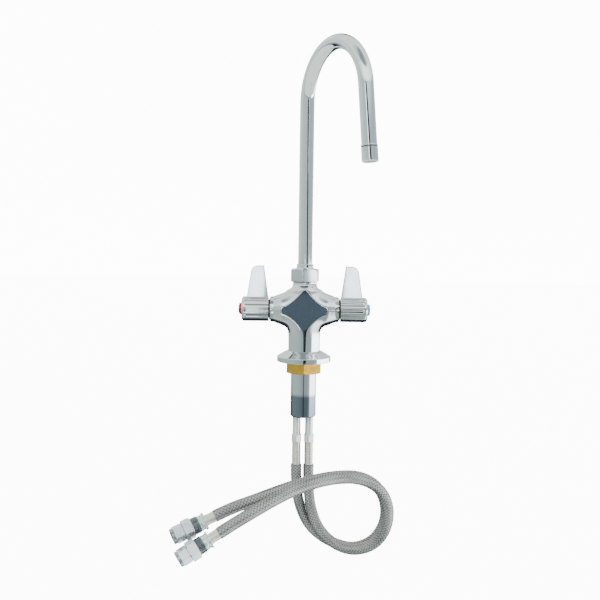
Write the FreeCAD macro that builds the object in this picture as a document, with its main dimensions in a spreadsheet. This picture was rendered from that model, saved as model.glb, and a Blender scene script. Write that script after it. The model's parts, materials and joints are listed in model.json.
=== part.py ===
import FreeCAD, Part
import Sketcher
import math
import os
from FreeCAD import Placement, Rotation, Vector

# Gooseneck faucet with two lever handles and two braided inlet hoses.
# Millimetres. The origin is the centre of the deck flange's underside, +Z is up,
# +Y points to the back, the hot side is -X and the cold side is +X.
# Sizes along a valve are distances from the middle of the body.

SIZES = {
    # Fits
    "running_fit": 0.05,
    "brazed_fit": 0.02,
    "thread_fit": 0.05,
    "swivel_fit": 0.25,
    # Deck flange and gasket
    "flange_radius": 30.0,
    "flange_rim": 5.6,
    "flange_height": 12.0,
    "flange_top_radius": 18.2,
    "flange_edge": 0.6,
    "gasket_inner": 23.0,
    "gasket_width": 4.0,
    "gasket_thickness": 2.0,
    # Mounting shank and lock nut
    "shank_radius": 14.25,
    "shank_wall": 2.45,
    "shank_length": 62.5,
    "shank_engagement": 14.0,
    "lock_nut_flats": 38.0,
    "lock_nut_height": 12.5,
    "lock_nut_gap": 0.3,
    "nut_chamfer": 1.2,
    # Body
    "skirt_radius": 17.5,
    "column_radius": 17.9,
    "column_start": 42.0,
    "neck_radius": 13.2,
    "neck_flare": 4.5,
    "neck_top": 89.5,
    "neck_land": 7.0,
    "valve_height": 58.0,
    "arm_length": 38.0,
    "arm_end_radius": 13.9,
    "arm_end_land": 3.5,
    "arm_waist_place": 25.0,
    "arm_waist_radius": 17.9,
    "arm_root_place": 12.0,
    "arm_root_radius": 21.6,
    "arm_middle_radius": 23.0,
    "facet_distance": 17.7,
    "spigot_radius": 12.0,
    "spigot_length": 9.4,
    # Passages in the body
    "inlet_offset": 7.0,
    "inlet_bore": 3.6,
    "inlet_end_above_valve": 3.2,
    "seat_bore": 3.2,
    "outlet_bore": 2.6,
    "spout_bore_depth": 4.0,
    # Swivel nut
    "swivel_nut_flats": 29.5,
    "swivel_nut_height": 13.8,
    "swivel_lip_height": 5.1,
    "swivel_lip_radius": 9.3,
    "swivel_ceiling": 10.0,
    # Spout
    "tube_radius": 7.95,
    "tube_wall": 1.0,
    "tube_foot": 70.0,
    "bend_height": 284.2,
    "bend_radius": 57.2,
    "bend_angle": 172.5,
    "outlet_leg": 77.3,
    "spout_turn": 30.1,
    "foot_radius": 9.6,
    "foot_lip": 2.0,
    "foot_shoulder_radius": 10.8,
    "foot_shoulder_height": 2.6,
    "spout_ring_section": 0.53,
    "spout_ring_groove": 2.4,
    "spout_ring_low": 3.0,
    "spout_ring_high": 10.0,
    "swivel_washer_thickness": 0.85,
    # Aerator
    "aerator_radius": 8.5,
    "aerator_length": 17.0,
    "aerator_lip": 1.2,
    "aerator_mouth_radius": 6.4,
    "aerator_chamfer": 0.8,
    "insert_height": 4.8,
    "insert_hole_radius": 0.7,
    "aerator_gasket_thickness": 1.0,
    # Cartridge
    "cartridge_bore": 9.4,
    "seat_place": 16.0,
    "seal_thickness": 2.5,
    "seal_inner": 3.4,
    "seal_outer": 6.0,
    "disc_radius": 7.3,
    "disc_thickness": 2.0,
    "disc_hole_radius": 2.0,
    "disc_hole_offset": 3.6,
    "disc_gap": 0.02,
    "cage_start": 17.0,
    "cage_radius": 8.6,
    "cage_length": 9.0,
    "cage_window": 4.0,
    "bonnet_flange_radius": 12.2,
    "bonnet_flange": 1.3,
    "bonnet_head_radius": 10.0,
    "bonnet_head": 4.7,
    "bonnet_ring_depth": 5.5,
    "bonnet_ring_groove": 2.1,
    "bonnet_ring_section": 0.61,
    "stem_radius": 3.9,
    "stem_foot": 2.2,
    "stem_end": 55.5,
    "stem_ring_depth": 0.2,
    "stem_ring_groove": 2.2,
    "stem_ring_section": 0.68,
    "screw_radius": 2.0,
    "screw_length": 10.0,
    "screw_head_radius": 4.5,
    "screw_head": 3.0,
    "screw_socket": 1.6,
    # Handle
    "hub_gap": 2.0,
    "hub_radius": 13.9,
    "hub_end": 70.2,
    "hub_shoulder": 3.2,
    "hub_cavity_radius": 10.8,
    "hub_cavity": 6.2,
    "hub_web": 2.5,
    "button_radius": 6.5,
    "button_seat": 65.8,
    "button_proud": 3.2,
    "button_dome": 1.5,
    "flute_count": 12,
    "flute_radius": 2.4,
    "flute_depth": 0.5,
    "flute_start": 43.5,
    "flute_end": 66.0,
    "blade_top": 48.5,
    "blade_thickness": 5.0,
    "blade_inner_base": 40.2,
    "blade_inner_top": 45.5,
    "blade_outer_base": 64.6,
    "blade_outer_top": 59.0,
    "blade_corner": 9.0,
    "blade_edge": 0.7,
    # Supply tubes and upper hose ends
    "supply_radius": 4.5,
    "supply_wall": 0.8,
    "supply_top": 38.0,
    "top_nut_flats": 11.0,
    "top_nut_top": -83.5,
    "top_nut_height": 8.0,
    "top_nut_socket": 4.5,
    "ferrule_radius": 5.4,
    "top_ferrule_radius": 4.9,
    "top_ferrule_length": 26.5,
    "nipple_bore": 2.9,
    # Hoses and inlet fittings, places counted along the fitting from the braid's end
    "hose_radius": 6.0,
    "hose_bore": 3.5,
    "end_ferrule_length": 10.0,
    "collar_radius": 8.6,
    "collar_rim": 1.5,
    "collar_neck_radius": 7.6,
    "collar_length": 7.0,
    "adapter_thread_radius": 8.6,
    "adapter_thread_length": 7.0,
    "adapter_flats": 18.0,
    "adapter_hex_length": 9.0,
    "adapter_tail_radius": 5.6,
    "adapter_tail_length": 6.0,
    "union_nut_flats": 15.5,
    "union_nut_length": 12.0,
    "union_ring_radius": 7.8,
    "union_ring_length": 3.0,
    "union_thread_radius": 6.9,
    "union_thread_depth": 5.0,
    "union_washer_thickness": 1.2,
    "union_gap": 0.3,
}

# The hoses' routes, each from its upper ferrule down to its inlet fitting.
HOT_ROUTE = [
    (-7.0, 0.0, -118.0), (-7.0, 0.0, -143.0), (-2.0, 0.5, -168.0), (9.5, -2.5, -190.0),
    (31.5, -10.0, -204.0), (58.0, -21.0, -208.0), (80.5, -31.0, -194.5), (92.0, -39.0, -170.0),
    (90.5, -45.0, -143.5), (79.0, -50.0, -125.0), (60.0, -55.5, -115.0), (38.0, -65.5, -112.5),
    (17.0, -79.5, -112.3), (-5.0, -97.0, -113.3), (-27.0, -115.0, -116.2), (-48.8, -131.0, -120.5),
    (-69.6, -140.7, -125.3), (-85.3, -146.7, -131.7),
]
COLD_ROUTE = [
    (7.0, 0.0, -118.0), (7.0, 0.0, -142.0), (10.0, -5.0, -166.0), (18.0, -14.0, -186.5),
    (34.5, -25.5, -200.5), (57.5, -35.5, -205.5), (81.5, -45.0, -194.0), (93.5, -52.3, -170.0),
    (92.5, -58.5, -143.0), (80.5, -63.8, -124.0), (60.5, -70.2, -113.5), (38.0, -81.3, -110.5),
    (17.0, -96.3, -110.3), (-5.0, -114.5, -112.6), (-27.0, -132.5, -118.6), (-47.0, -146.5, -126.8),
    (-65.2, -156.0, -135.4), (-80.0, -161.8, -143.8),
]
RUN_SHARE = 0.45
HALF_TURN = 180.0
HEX_CIRCUMRADIUS = 1.0 / math.sqrt(3.0)


class Size:
    """A length with the sheet formula that gives it."""

    def __init__(self, value, formula):
        self.value = value
        self.formula = formula

    def __add__(self, other):
        other = as_size(other)
        return Size(self.value + other.value, f"({self.formula} + {other.formula})")

    def __sub__(self, other):
        other = as_size(other)
        return Size(self.value - other.value, f"({self.formula} - {other.formula})")

    def __mul__(self, other):
        other = as_size(other)
        return Size(self.value * other.value, f"({self.formula} * {other.formula})")

    def __neg__(self):
        return Size(-self.value, f"(-{self.formula})")


def as_size(number):
    if isinstance(number, Size):
        return number
    return Size(float(number), repr(float(number)))


class SizeBook:
    """Every driving size by name, read back from the sheet."""

    def __init__(self, sheet, names):
        for name in names:
            setattr(self, name, Size(float(sheet.get(name)), f"{sheet.Name}.{name}"))


def fill_sheet(values):
    sheet = doc.addObject("Spreadsheet::Sheet", "Sizes")
    for row, (name, value) in enumerate(values.items(), start=1):
        sheet.set(f"A{row}", name)
        sheet.set(f"B{row}", str(value))
        sheet.setAlias(f"B{row}", name)
    doc.recompute()
    return SizeBook(sheet, values)


doc = FreeCAD.newDocument("gooseneck_faucet")
S = fill_sheet(SIZES)


def bind(thing, **sizes):
    for name, size in sizes.items():
        thing.setExpression(name, as_size(size).formula)


def origin_plane(body, role):
    return [item for item in body.Origin.OriginFeatures if item.Role == role][0]


def polygon_sketch(body, label, corners, role="XZ_Plane"):
    """A closed outline whose corners are bound to the sheet."""
    sketch = body.newObject("Sketcher::SketchObject", label)
    sketch.AttachmentSupport = (origin_plane(body, role), [""])
    sketch.MapMode = "FlatFace"
    corners = [(as_size(across), as_size(along)) for across, along in corners]
    count = len(corners)
    points = [Vector(across.value, along.value, 0) for across, along in corners]
    lines = [Part.LineSegment(points[i], points[(i + 1) % count]) for i in range(count)]
    sketch.addGeometry(lines, False)
    ties = [Sketcher.Constraint("Coincident", i, 2, (i + 1) % count, 1) for i in range(count)]
    for i, point in enumerate(points):
        ties.append(Sketcher.Constraint("DistanceX", -1, 1, i, 1, point.x))
        ties.append(Sketcher.Constraint("DistanceY", -1, 1, i, 1, point.y))
    sketch.addConstraint(ties)
    for i, (across, along) in enumerate(corners):
        bind(sketch, **{f"Constraints[{count + 2 * i}]": across})
        bind(sketch, **{f"Constraints[{count + 2 * i + 1}]": along})
    return sketch


def turned(label, corners):
    """A piece turned about its own Z axis from (radius, height) corners."""
    body = doc.addObject("PartDesign::Body", label)
    profile = polygon_sketch(body, label + "_profile", corners)
    turn = body.newObject("PartDesign::Revolution", label + "_turn")
    turn.Profile = (profile, [""])
    turn.ReferenceAxis = (profile, ["V_Axis"])
    turn.Angle = 360
    body.Tip = turn
    return body


def ring(label, inner, outer, start, end):
    return turned(label, [(inner, start), (outer, start), (outer, end), (inner, end)])


def cylinder(label, radius, height, base=(0.0, 0.0, 0.0), rotation=Rotation()):
    rod = doc.addObject("Part::Cylinder", label)
    bind(rod, Radius=radius, Height=height)
    rod.Placement = Placement(Vector(*base), rotation)
    return rod


def torus(label, middle, section):
    hoop = doc.addObject("Part::Torus", label)
    bind(hoop, Radius1=middle, Radius2=section)
    return hoop


def fused(label, shapes):
    joined = doc.addObject("Part::MultiFuse", label)
    joined.Shapes = shapes
    return joined


def cut(label, base, tool):
    rest = doc.addObject("Part::Cut", label)
    rest.Base = base
    rest.Tool = tool
    return rest


def hexagon(label, flats, start, height):
    """A hexagonal bar about Z with corners at the front and the back."""
    bar = doc.addObject("Part::Prism", label)
    bar.Polygon = 6
    bind(bar, Circumradius=flats * HEX_CIRCUMRADIUS, Height=height)
    bar.Placement = Placement(Vector(0, 0, start.value), Rotation(Vector(0, 0, 1), 30))
    return bar


def hex_piece(label, flats, corners, start, height):
    """A turned piece with the flats of a hexagonal bar."""
    piece = doc.addObject("Part::Common", label)
    piece.Base = hexagon(label + "_bar", flats, start, height)
    piece.Tool = turned(label + "_turned", corners)
    return piece


def piece_from_shape(label, shape):
    piece = doc.addObject("Part::Feature", label)
    piece.Shape = shape
    return piece


def place(piece, placement):
    piece.Placement = placement
    return piece


def raised(piece, height):
    return place(piece, Placement(Vector(0, 0, as_size(height).value), Rotation()))


# Places that several pieces share
spigot_top = S.neck_top + S.spigot_length
ceiling = S.neck_top + S.swivel_ceiling
washer_base = ceiling - S.swivel_washer_thickness
shoulder_base = washer_base - S.foot_shoulder_height
spout_bore = S.foot_radius + S.running_fit
spout_bore_end = S.tube_foot - S.spout_bore_depth
shank_top = S.flange_height + S.shank_engagement
fixed_disc_start = S.seat_place + S.seal_thickness
moving_disc_start = fixed_disc_start + S.disc_thickness + S.disc_gap
stem_start = moving_disc_start + S.disc_thickness
bonnet_ring_start = S.arm_length - S.bonnet_ring_depth
stem_ring_start = S.arm_length - S.stem_ring_depth
hub_start = S.arm_length + S.hub_gap
socket_end = S.stem_end + S.union_gap
screw_seat = socket_end + S.hub_web
top_nut_base = S.top_nut_top - S.top_nut_height
tube_bore = S.tube_radius - S.tube_wall

SIDES = {"hot": -1.0, "cold": 1.0}
ROUTES = {"hot": HOT_ROUTE, "cold": COLD_ROUTE}


def valve_placement(side):
    """Local Z runs out along the arm and local X points up."""
    lean = Rotation(Vector(0, 1, 0), -90)
    if SIDES[side] > 0:
        lean = Rotation(Vector(0, 0, 1), HALF_TURN) * lean
    return Placement(Vector(0, 0, S.valve_height.value), lean)


def inlet_placement(side):
    return Placement(Vector(SIDES[side] * S.inlet_offset.value, 0, 0), Rotation())


def fitting_placement(side):
    """Local Z runs on from the last run of the hose."""
    before, last = [Vector(*point) for point in ROUTES[side][-2:]]
    return Placement(last, Rotation(Vector(0, 0, 1), last - before))


def spout_rotation():
    """Local X points from the riser to the outlet."""
    return Rotation(Vector(0, 0, 1), S.spout_turn.value - 90)


def outlet_placement():
    """Local Z runs up the outlet leg from its mouth."""
    bend = math.radians(S.bend_angle.value)
    lean = math.radians(HALF_TURN - S.bend_angle.value)
    radius = S.bend_radius.value
    leg = S.outlet_leg.value
    reach = radius * (1 - math.cos(bend)) + leg * math.sin(lean)
    height = S.bend_height.value + radius * math.sin(bend) - leg * math.cos(lean)
    mouth = Placement(Vector(reach, 0, height), Rotation(Vector(0, 1, 0), -math.degrees(lean)))
    return Placement(Vector(), spout_rotation()) * mouth


def make_flange():
    recess_outer = S.gasket_inner + S.gasket_width
    bore = S.shank_radius + S.swivel_fit
    turned("deck_flange", [
        (bore, 0), (S.gasket_inner, 0), (S.gasket_inner, S.gasket_thickness),
        (recess_outer, S.gasket_thickness), (recess_outer, 0), (S.flange_radius, 0),
        (S.flange_radius, S.flange_rim - S.flange_edge),
        (S.flange_radius - S.flange_edge, S.flange_rim),
        (S.flange_top_radius, S.flange_height), (bore, S.flange_height)])
    ring("flange_gasket", S.gasket_inner, recess_outer, 0, S.gasket_thickness)


def make_shank_and_nut():
    outer = S.shank_radius
    bore = S.shank_radius - S.shank_wall
    tip = outer - S.nut_chamfer
    turned("mounting_shank", [
        (bore, -S.shank_length), (tip, -S.shank_length),
        (outer, S.nut_chamfer - S.shank_length), (outer, shank_top), (bore, shank_top)])
    corner = S.lock_nut_flats * HEX_CIRCUMRADIUS
    height = S.lock_nut_height
    hole = S.shank_radius + S.thread_fit
    nut = hex_piece("lock_nut", S.lock_nut_flats, [
        (hole, 0), (corner - S.nut_chamfer * 2, 0), (corner, S.nut_chamfer),
        (corner, height - S.nut_chamfer), (corner - S.nut_chamfer * 2, height),
        (hole, height)], as_size(0), height)
    raised(nut, -S.lock_nut_height - S.lock_nut_gap)


def revolve_outline(edges, axis):
    return Part.Face(Part.Wire(edges)).revolve(Vector(), axis, 360)


def column_shape():
    """The upright part of the body: skirt, swelling column, flared neck and spigot."""
    skirt = S.skirt_radius.value
    column = S.column_radius.value
    neck = S.neck_radius.value
    flare = S.neck_flare.value
    top = S.neck_top.value
    flare_top = top - S.neck_land.value
    centre = Vector(neck + flare, 0, flare_top)
    start = Vector(column, 0, flare_top - math.sqrt(flare ** 2 - (neck + flare - column) ** 2))
    end = Vector(neck, 0, flare_top)
    direction = (start - centre).normalize() + (end - centre).normalize()
    middle = centre + direction.normalize() * flare
    spigot = S.spigot_radius.value
    corners = [Vector(0, 0, spigot_top.value), Vector(0, 0, S.flange_height.value),
               Vector(skirt, 0, S.flange_height.value), Vector(skirt, 0, S.flange_height.value * 2),
               Vector(column, 0, S.column_start.value), start]
    edges = [Part.makeLine(a, b) for a, b in zip(corners, corners[1:])]
    edges.append(Part.Arc(start, middle, end).toShape())
    corners = [end, Vector(neck, 0, top), Vector(spigot, 0, top),
               Vector(spigot, 0, spigot_top.value), Vector(0, 0, spigot_top.value)]
    edges += [Part.makeLine(a, b) for a, b in zip(corners, corners[1:])]
    return revolve_outline(edges, Vector(0, 0, 1))


def arms_shape():
    """The level part of the body: a barrel about X that narrows to both arm ends."""
    half = [(S.arm_length, S.arm_end_radius), (S.arm_length - S.arm_end_land, S.arm_end_radius),
            (S.arm_waist_place, S.arm_waist_radius), (S.arm_root_place, S.arm_root_radius),
            (as_size(0), S.arm_middle_radius)]
    right = [Vector(place_x.value, 0, radius.value) for place_x, radius in half]
    left = [Vector(-point.x, 0, point.z) for point in reversed(right[:-1])]
    outline = [Vector(S.arm_length.value, 0, 0)] + right + left + [Vector(-S.arm_length.value, 0, 0)]
    barrel = revolve_outline(Part.makePolygon(outline + outline[:1]).Edges, Vector(1, 0, 0))
    barrel.translate(Vector(0, 0, S.valve_height.value))
    return barrel


def make_body():
    skin = column_shape().fuse(arms_shape())
    depth = 2 * S.facet_distance.value
    width = 4 * S.arm_length.value
    height = spigot_top.value
    slab = Part.makeBox(width, depth, height, Vector(-width / 2, -depth / 2, 0))
    block = piece_from_shape("body_block", skin.common(slab).removeSplitter())
    socket = S.shank_radius + S.thread_fit
    hollows = [
        cylinder("shank_socket", socket, S.shank_engagement, (0, 0, S.flange_height.value)),
        cylinder("spout_socket", spout_bore, spigot_top - spout_bore_end, (0, 0, spout_bore_end.value)),
        cylinder("shoulder_socket", S.foot_shoulder_radius + S.running_fit,
                 spigot_top - shoulder_base, (0, 0, shoulder_base.value))]
    for side, sign in SIDES.items():
        valve = valve_placement(side)
        x = sign * S.inlet_offset.value
        inlet_end = S.valve_height + S.inlet_end_above_valve
        hollows.append(cylinder(side + "_tube_socket", S.supply_radius + S.brazed_fit,
                                S.supply_top - shank_top, (x, 0, shank_top.value)))
        hollows.append(cylinder(side + "_inlet_bore", S.inlet_bore, inlet_end - S.supply_top,
                                (x, 0, S.supply_top.value)))
        bore = cylinder(side + "_cartridge_socket", S.cartridge_bore, S.arm_length - S.seat_place)
        bore.Placement = valve * Placement(Vector(0, 0, S.seat_place.value), Rotation())
        seat = cylinder(side + "_seat_bore", S.seat_bore, S.seat_place - S.inlet_offset)
        seat.Placement = valve * Placement(Vector(0, 0, S.inlet_offset.value), Rotation())
        top = Vector(sign * (spout_bore.value - S.outlet_bore.value), 0, spout_bore_end.value + 1)
        low = Vector(sign * (S.seat_place.value + S.cage_window.value + 2), 0,
                     S.valve_height.value + S.cartridge_bore.value - 1)
        drill = low - top
        outlet = cylinder(side + "_outlet_bore", S.outlet_bore, drill.Length)
        outlet.Placement = Placement(top, Rotation(Vector(0, 0, 1), drill))
        hollows += [bore, seat, outlet]
    cut("mixing_body", block, fused("body_hollows", hollows))


def make_swivel():
    corner = S.swivel_nut_flats * HEX_CIRCUMRADIUS
    thread = S.spigot_radius + S.thread_fit
    hole = S.tube_radius + S.swivel_fit
    shoulder = S.swivel_nut_height
    top = S.swivel_nut_height + S.swivel_lip_height
    nut = hex_piece("swivel_nut", S.swivel_nut_flats, [
        (thread, 0), (corner - S.nut_chamfer, 0), (corner, S.nut_chamfer),
        (corner, shoulder - S.nut_chamfer), (corner - S.nut_chamfer * 2, shoulder),
        (S.swivel_lip_radius + S.nut_chamfer, shoulder),
        (S.swivel_lip_radius, shoulder + S.nut_chamfer), (S.swivel_lip_radius, top),
        (hole, top), (hole, S.swivel_ceiling), (thread, S.swivel_ceiling)], as_size(0), top)
    raised(nut, S.neck_top)
    washer = ring("swivel_washer", hole, S.foot_shoulder_radius, 0, S.swivel_washer_thickness)
    raised(washer, washer_base)


def tube_path():
    """The centreline in the tube's own plane, from its foot to the aerator's gasket."""
    bend = math.radians(S.bend_angle.value)
    radius = S.bend_radius.value
    straight = S.outlet_leg - S.aerator_lip - S.insert_height - S.aerator_gasket_thickness
    foot = Vector(0, 0, S.tube_foot.value)
    spring = Vector(0, 0, S.bend_height.value)
    centre = Vector(radius, 0, S.bend_height.value)
    crown = centre + Vector(-math.cos(bend / 2), 0, math.sin(bend / 2)) * radius
    landing = centre + Vector(-math.cos(bend), 0, math.sin(bend)) * radius
    end = landing + Vector(math.sin(bend), 0, math.cos(bend)) * straight.value
    return Part.Wire([Part.makeLine(foot, spring), Part.Arc(spring, crown, landing).toShape(),
                      Part.makeLine(landing, end)])


def pipe_along(path, outer, inner):
    """A tube swept along a path, with flat ends square to it."""
    start = path.Edges[0].firstVertex().Point
    direction = path.Edges[0].tangentAt(path.Edges[0].FirstParameter)
    rims = [Part.Wire(Part.makeCircle(radius, start, direction)) for radius in (outer, inner)]
    solids = [path.makePipeShell([rim], True, False) for rim in rims]
    return solids[0].cut(solids[1])


def make_spout():
    turn = Placement(Vector(), spout_rotation())
    tube = pipe_along(tube_path(), S.tube_radius.value, tube_bore.value)
    place(piece_from_shape("gooseneck_tube", tube), turn)
    sleeve = S.tube_radius + S.brazed_fit
    foot_base = S.tube_foot - S.foot_lip
    floor = spout_bore - S.spout_ring_section * 2 - S.brazed_fit * 2
    ring_low = S.tube_foot + S.spout_ring_low
    ring_high = S.tube_foot + S.spout_ring_high
    low_end = ring_low + S.spout_ring_groove
    high_end = ring_high + S.spout_ring_groove
    shoulder_top = shoulder_base + S.foot_shoulder_height
    foot = turned("spout_foot", [
        (tube_bore, foot_base), (S.foot_radius, foot_base), (S.foot_radius, ring_low),
        (floor, ring_low), (floor, low_end), (S.foot_radius, low_end),
        (S.foot_radius, ring_high), (floor, ring_high), (floor, high_end),
        (S.foot_radius, high_end), (S.foot_radius, shoulder_base),
        (S.foot_shoulder_radius, shoulder_base), (S.foot_shoulder_radius, shoulder_top),
        (sleeve, shoulder_top), (sleeve, S.tube_foot), (tube_bore, S.tube_foot)])
    place(foot, turn)
    middle = spout_bore - S.spout_ring_section - S.brazed_fit
    rings = [torus("spout_ring_low_hoop", middle, S.spout_ring_section),
             torus("spout_ring_high_hoop", middle, S.spout_ring_section)]
    raised(rings[0], ring_low + S.spout_ring_groove * 0.5)
    raised(rings[1], ring_high + S.spout_ring_groove * 0.5)
    both = doc.addObject("Part::Compound", "spout_orings")
    both.Links = rings
    place(both, turn)


def make_aerator():
    mouth = outlet_placement()
    socket = S.tube_radius + S.brazed_fit
    gasket_base = S.aerator_lip + S.insert_height
    shell = turned("aerator_shell", [
        (S.aerator_mouth_radius, 0), (S.aerator_radius - S.aerator_chamfer, 0),
        (S.aerator_radius, S.aerator_chamfer), (S.aerator_radius, S.aerator_length),
        (socket, S.aerator_length), (socket, S.aerator_lip), (S.aerator_mouth_radius, S.aerator_lip)])
    place(shell, mouth)
    gasket = ring("aerator_gasket", S.aerator_mouth_radius, S.tube_radius, 0,
                  S.aerator_gasket_thickness)
    place(gasket, mouth * Placement(Vector(0, 0, gasket_base.value), Rotation()))
    disc = cylinder("aerator_disc", S.tube_radius, S.insert_height)
    holes = [cylinder("aerator_hole_0", S.insert_hole_radius, S.insert_height)]
    for count, share in ((6, 0.3), (12, 0.62)):
        for index in range(count):
            angle = 2 * math.pi * index / count
            distance = S.tube_radius.value * share
            spot = (distance * math.cos(angle), distance * math.sin(angle), 0)
            holes.append(cylinder(f"aerator_hole_{count}_{index}", S.insert_hole_radius,
                                  S.insert_height, spot))
    insert = cut("aerator_insert", disc, fused("aerator_holes", holes))
    place(insert, mouth * Placement(Vector(0, 0, S.aerator_lip.value), Rotation()))


def make_disc(label, thickness):
    """A ceramic disc with two round ports."""
    blank = cylinder(label + "_blank", S.disc_radius, thickness)
    ports = [cylinder(f"{label}_port_{sign}", S.disc_hole_radius, thickness,
                      (sign * S.disc_hole_offset.value, 0, 0)) for sign in (1, -1)]
    return cut(label, blank, fused(label + "_ports", ports))


def make_cartridge(side):
    valve = valve_placement(side)

    def seat(piece, distance):
        place(piece, valve * Placement(Vector(0, 0, as_size(distance).value), Rotation()))

    bore = S.cartridge_bore - S.thread_fit
    shaft = S.stem_radius + S.running_fit
    cage_bore = S.disc_radius + S.running_fit
    cage_end = S.cage_start + S.cage_length
    cavity_end = stem_start + S.stem_foot + S.union_gap
    groove_end = bonnet_ring_start + S.bonnet_ring_groove
    groove_floor = S.cartridge_bore - S.bonnet_ring_section * 2 - S.brazed_fit * 2
    stem_groove_end = stem_ring_start + S.stem_ring_groove
    stem_groove_floor = S.stem_radius + S.stem_ring_section * 2 + S.brazed_fit * 2
    head_start = S.arm_length + S.bonnet_flange
    head_end = head_start + S.bonnet_head
    tube = turned(side + "_cage", [
        (cage_bore, S.cage_start), (S.cage_radius, S.cage_start), (S.cage_radius, cage_end),
        (bore, cage_end), (bore, bonnet_ring_start), (groove_floor, bonnet_ring_start),
        (groove_floor, groove_end), (bore, groove_end), (bore, S.arm_length),
        (S.bonnet_flange_radius, S.arm_length), (S.bonnet_flange_radius, head_start),
        (S.bonnet_head_radius, head_start), (S.bonnet_head_radius, head_end), (shaft, head_end),
        (shaft, stem_groove_end), (stem_groove_floor, stem_groove_end),
        (stem_groove_floor, stem_ring_start), (shaft, stem_ring_start),
        (shaft, cavity_end), (cage_bore, cavity_end)])
    window = doc.addObject("Part::Box", side + "_window")
    across = S.cage_radius * 2.5
    bind(window, Length=across, Width=S.cage_window, Height=S.cage_window)
    window.Placement = Placement(Vector(-across.value / 2, -S.cage_window.value / 2,
                                        fixed_disc_start.value + 1), Rotation())
    place(cut(side + "_cartridge_body", tube, window), valve)
    seal = ring(side + "_seat_seal", S.seal_inner, S.seal_outer, 0, S.seal_thickness)
    seat(seal, S.seat_place)
    seat(make_disc(side + "_fixed_disc", S.disc_thickness), fixed_disc_start)
    seat(make_disc(side + "_moving_disc", S.disc_thickness), moving_disc_start)
    bonnet_ring = S.cartridge_bore - S.bonnet_ring_section - S.brazed_fit
    seat(torus(side + "_bonnet_oring", bonnet_ring, S.bonnet_ring_section),
         bonnet_ring_start + S.bonnet_ring_groove * 0.5)
    stem_ring = S.stem_radius + S.stem_ring_section + S.brazed_fit
    seat(torus(side + "_stem_oring", stem_ring, S.stem_ring_section),
         stem_ring_start + S.stem_ring_groove * 0.5)
    hole = S.screw_radius + S.running_fit
    hole_end = S.stem_end - S.screw_length + S.hub_web
    stem_foot_end = stem_start + S.stem_foot
    place(turned(side + "_stem", [
        (0, stem_start), (S.disc_radius, stem_start), (S.disc_radius, stem_foot_end),
        (S.stem_radius, stem_foot_end), (S.stem_radius, S.stem_end), (hole, S.stem_end),
        (hole, hole_end), (0, hole_end)]), valve)


def flutes(side):
    """The shallow grooves round the hub."""
    rods = []
    count = int(S.flute_count.value)
    distance = S.hub_radius.value + S.flute_radius.value - S.flute_depth.value
    for index in range(count):
        angle = 2 * math.pi * (index + 0.5) / count
        spot = (distance * math.cos(angle), distance * math.sin(angle), S.flute_start.value)
        rods.append(cylinder(f"{side}_flute_{index}", S.flute_radius,
                             S.flute_end - S.flute_start, spot))
    return fused(side + "_flutes", rods)


def make_blade(side):
    """The flat lever, drawn in the plane of local X (up) and Z (outwards)."""
    body = doc.addObject("PartDesign::Body", side + "_blade")
    root = S.hub_cavity_radius + S.hub_gap * 0.4
    outline = polygon_sketch(body, side + "_blade_outline", [
        (root, S.blade_inner_base), (S.blade_top, S.blade_inner_top),
        (S.blade_top, S.blade_outer_top), (root, S.blade_outer_base)])
    pad = body.newObject("PartDesign::Pad", side + "_blade_pad")
    pad.Profile = (outline, [""])
    pad.Midplane = True
    bind(pad, Length=S.blade_thickness)
    doc.recompute()
    corner = body.newObject("PartDesign::Fillet", side + "_blade_corner")
    corner.Base = (pad, outer_corner_edges(pad.Shape))
    bind(corner, Radius=S.blade_corner)
    doc.recompute()
    edge = body.newObject("PartDesign::Chamfer", side + "_blade_bevel")
    edge.Base = (corner, face_outline_edges(corner.Shape))
    bind(edge, Size=S.blade_edge)
    body.Tip = edge
    return body


def outer_corner_edges(shape):
    """The short edge where the blade's top meets its outer side."""
    return [f"Edge{number}" for number, edge in enumerate(shape.Edges, start=1)
            if all(abs(vertex.X - S.blade_top.value) < 0.01
                   and abs(vertex.Z - S.blade_outer_top.value) < 0.01 for vertex in edge.Vertexes)]


def face_outline_edges(shape):
    """The edges round the blade's two flat faces, but not along its root."""
    half = S.blade_thickness.value / 2
    names = []
    for number, edge in enumerate(shape.Edges, start=1):
        flat = all(abs(abs(vertex.Y) - half) < 0.01 for vertex in edge.Vertexes)
        middle = edge.CenterOfMass
        on_face = abs(abs(middle.y) - half) < 0.01
        above_root = middle.x > S.hub_cavity_radius.value + 2 * S.hub_gap.value
        if flat and on_face and above_root:
            names.append(f"Edge{number}")
    return names


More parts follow.
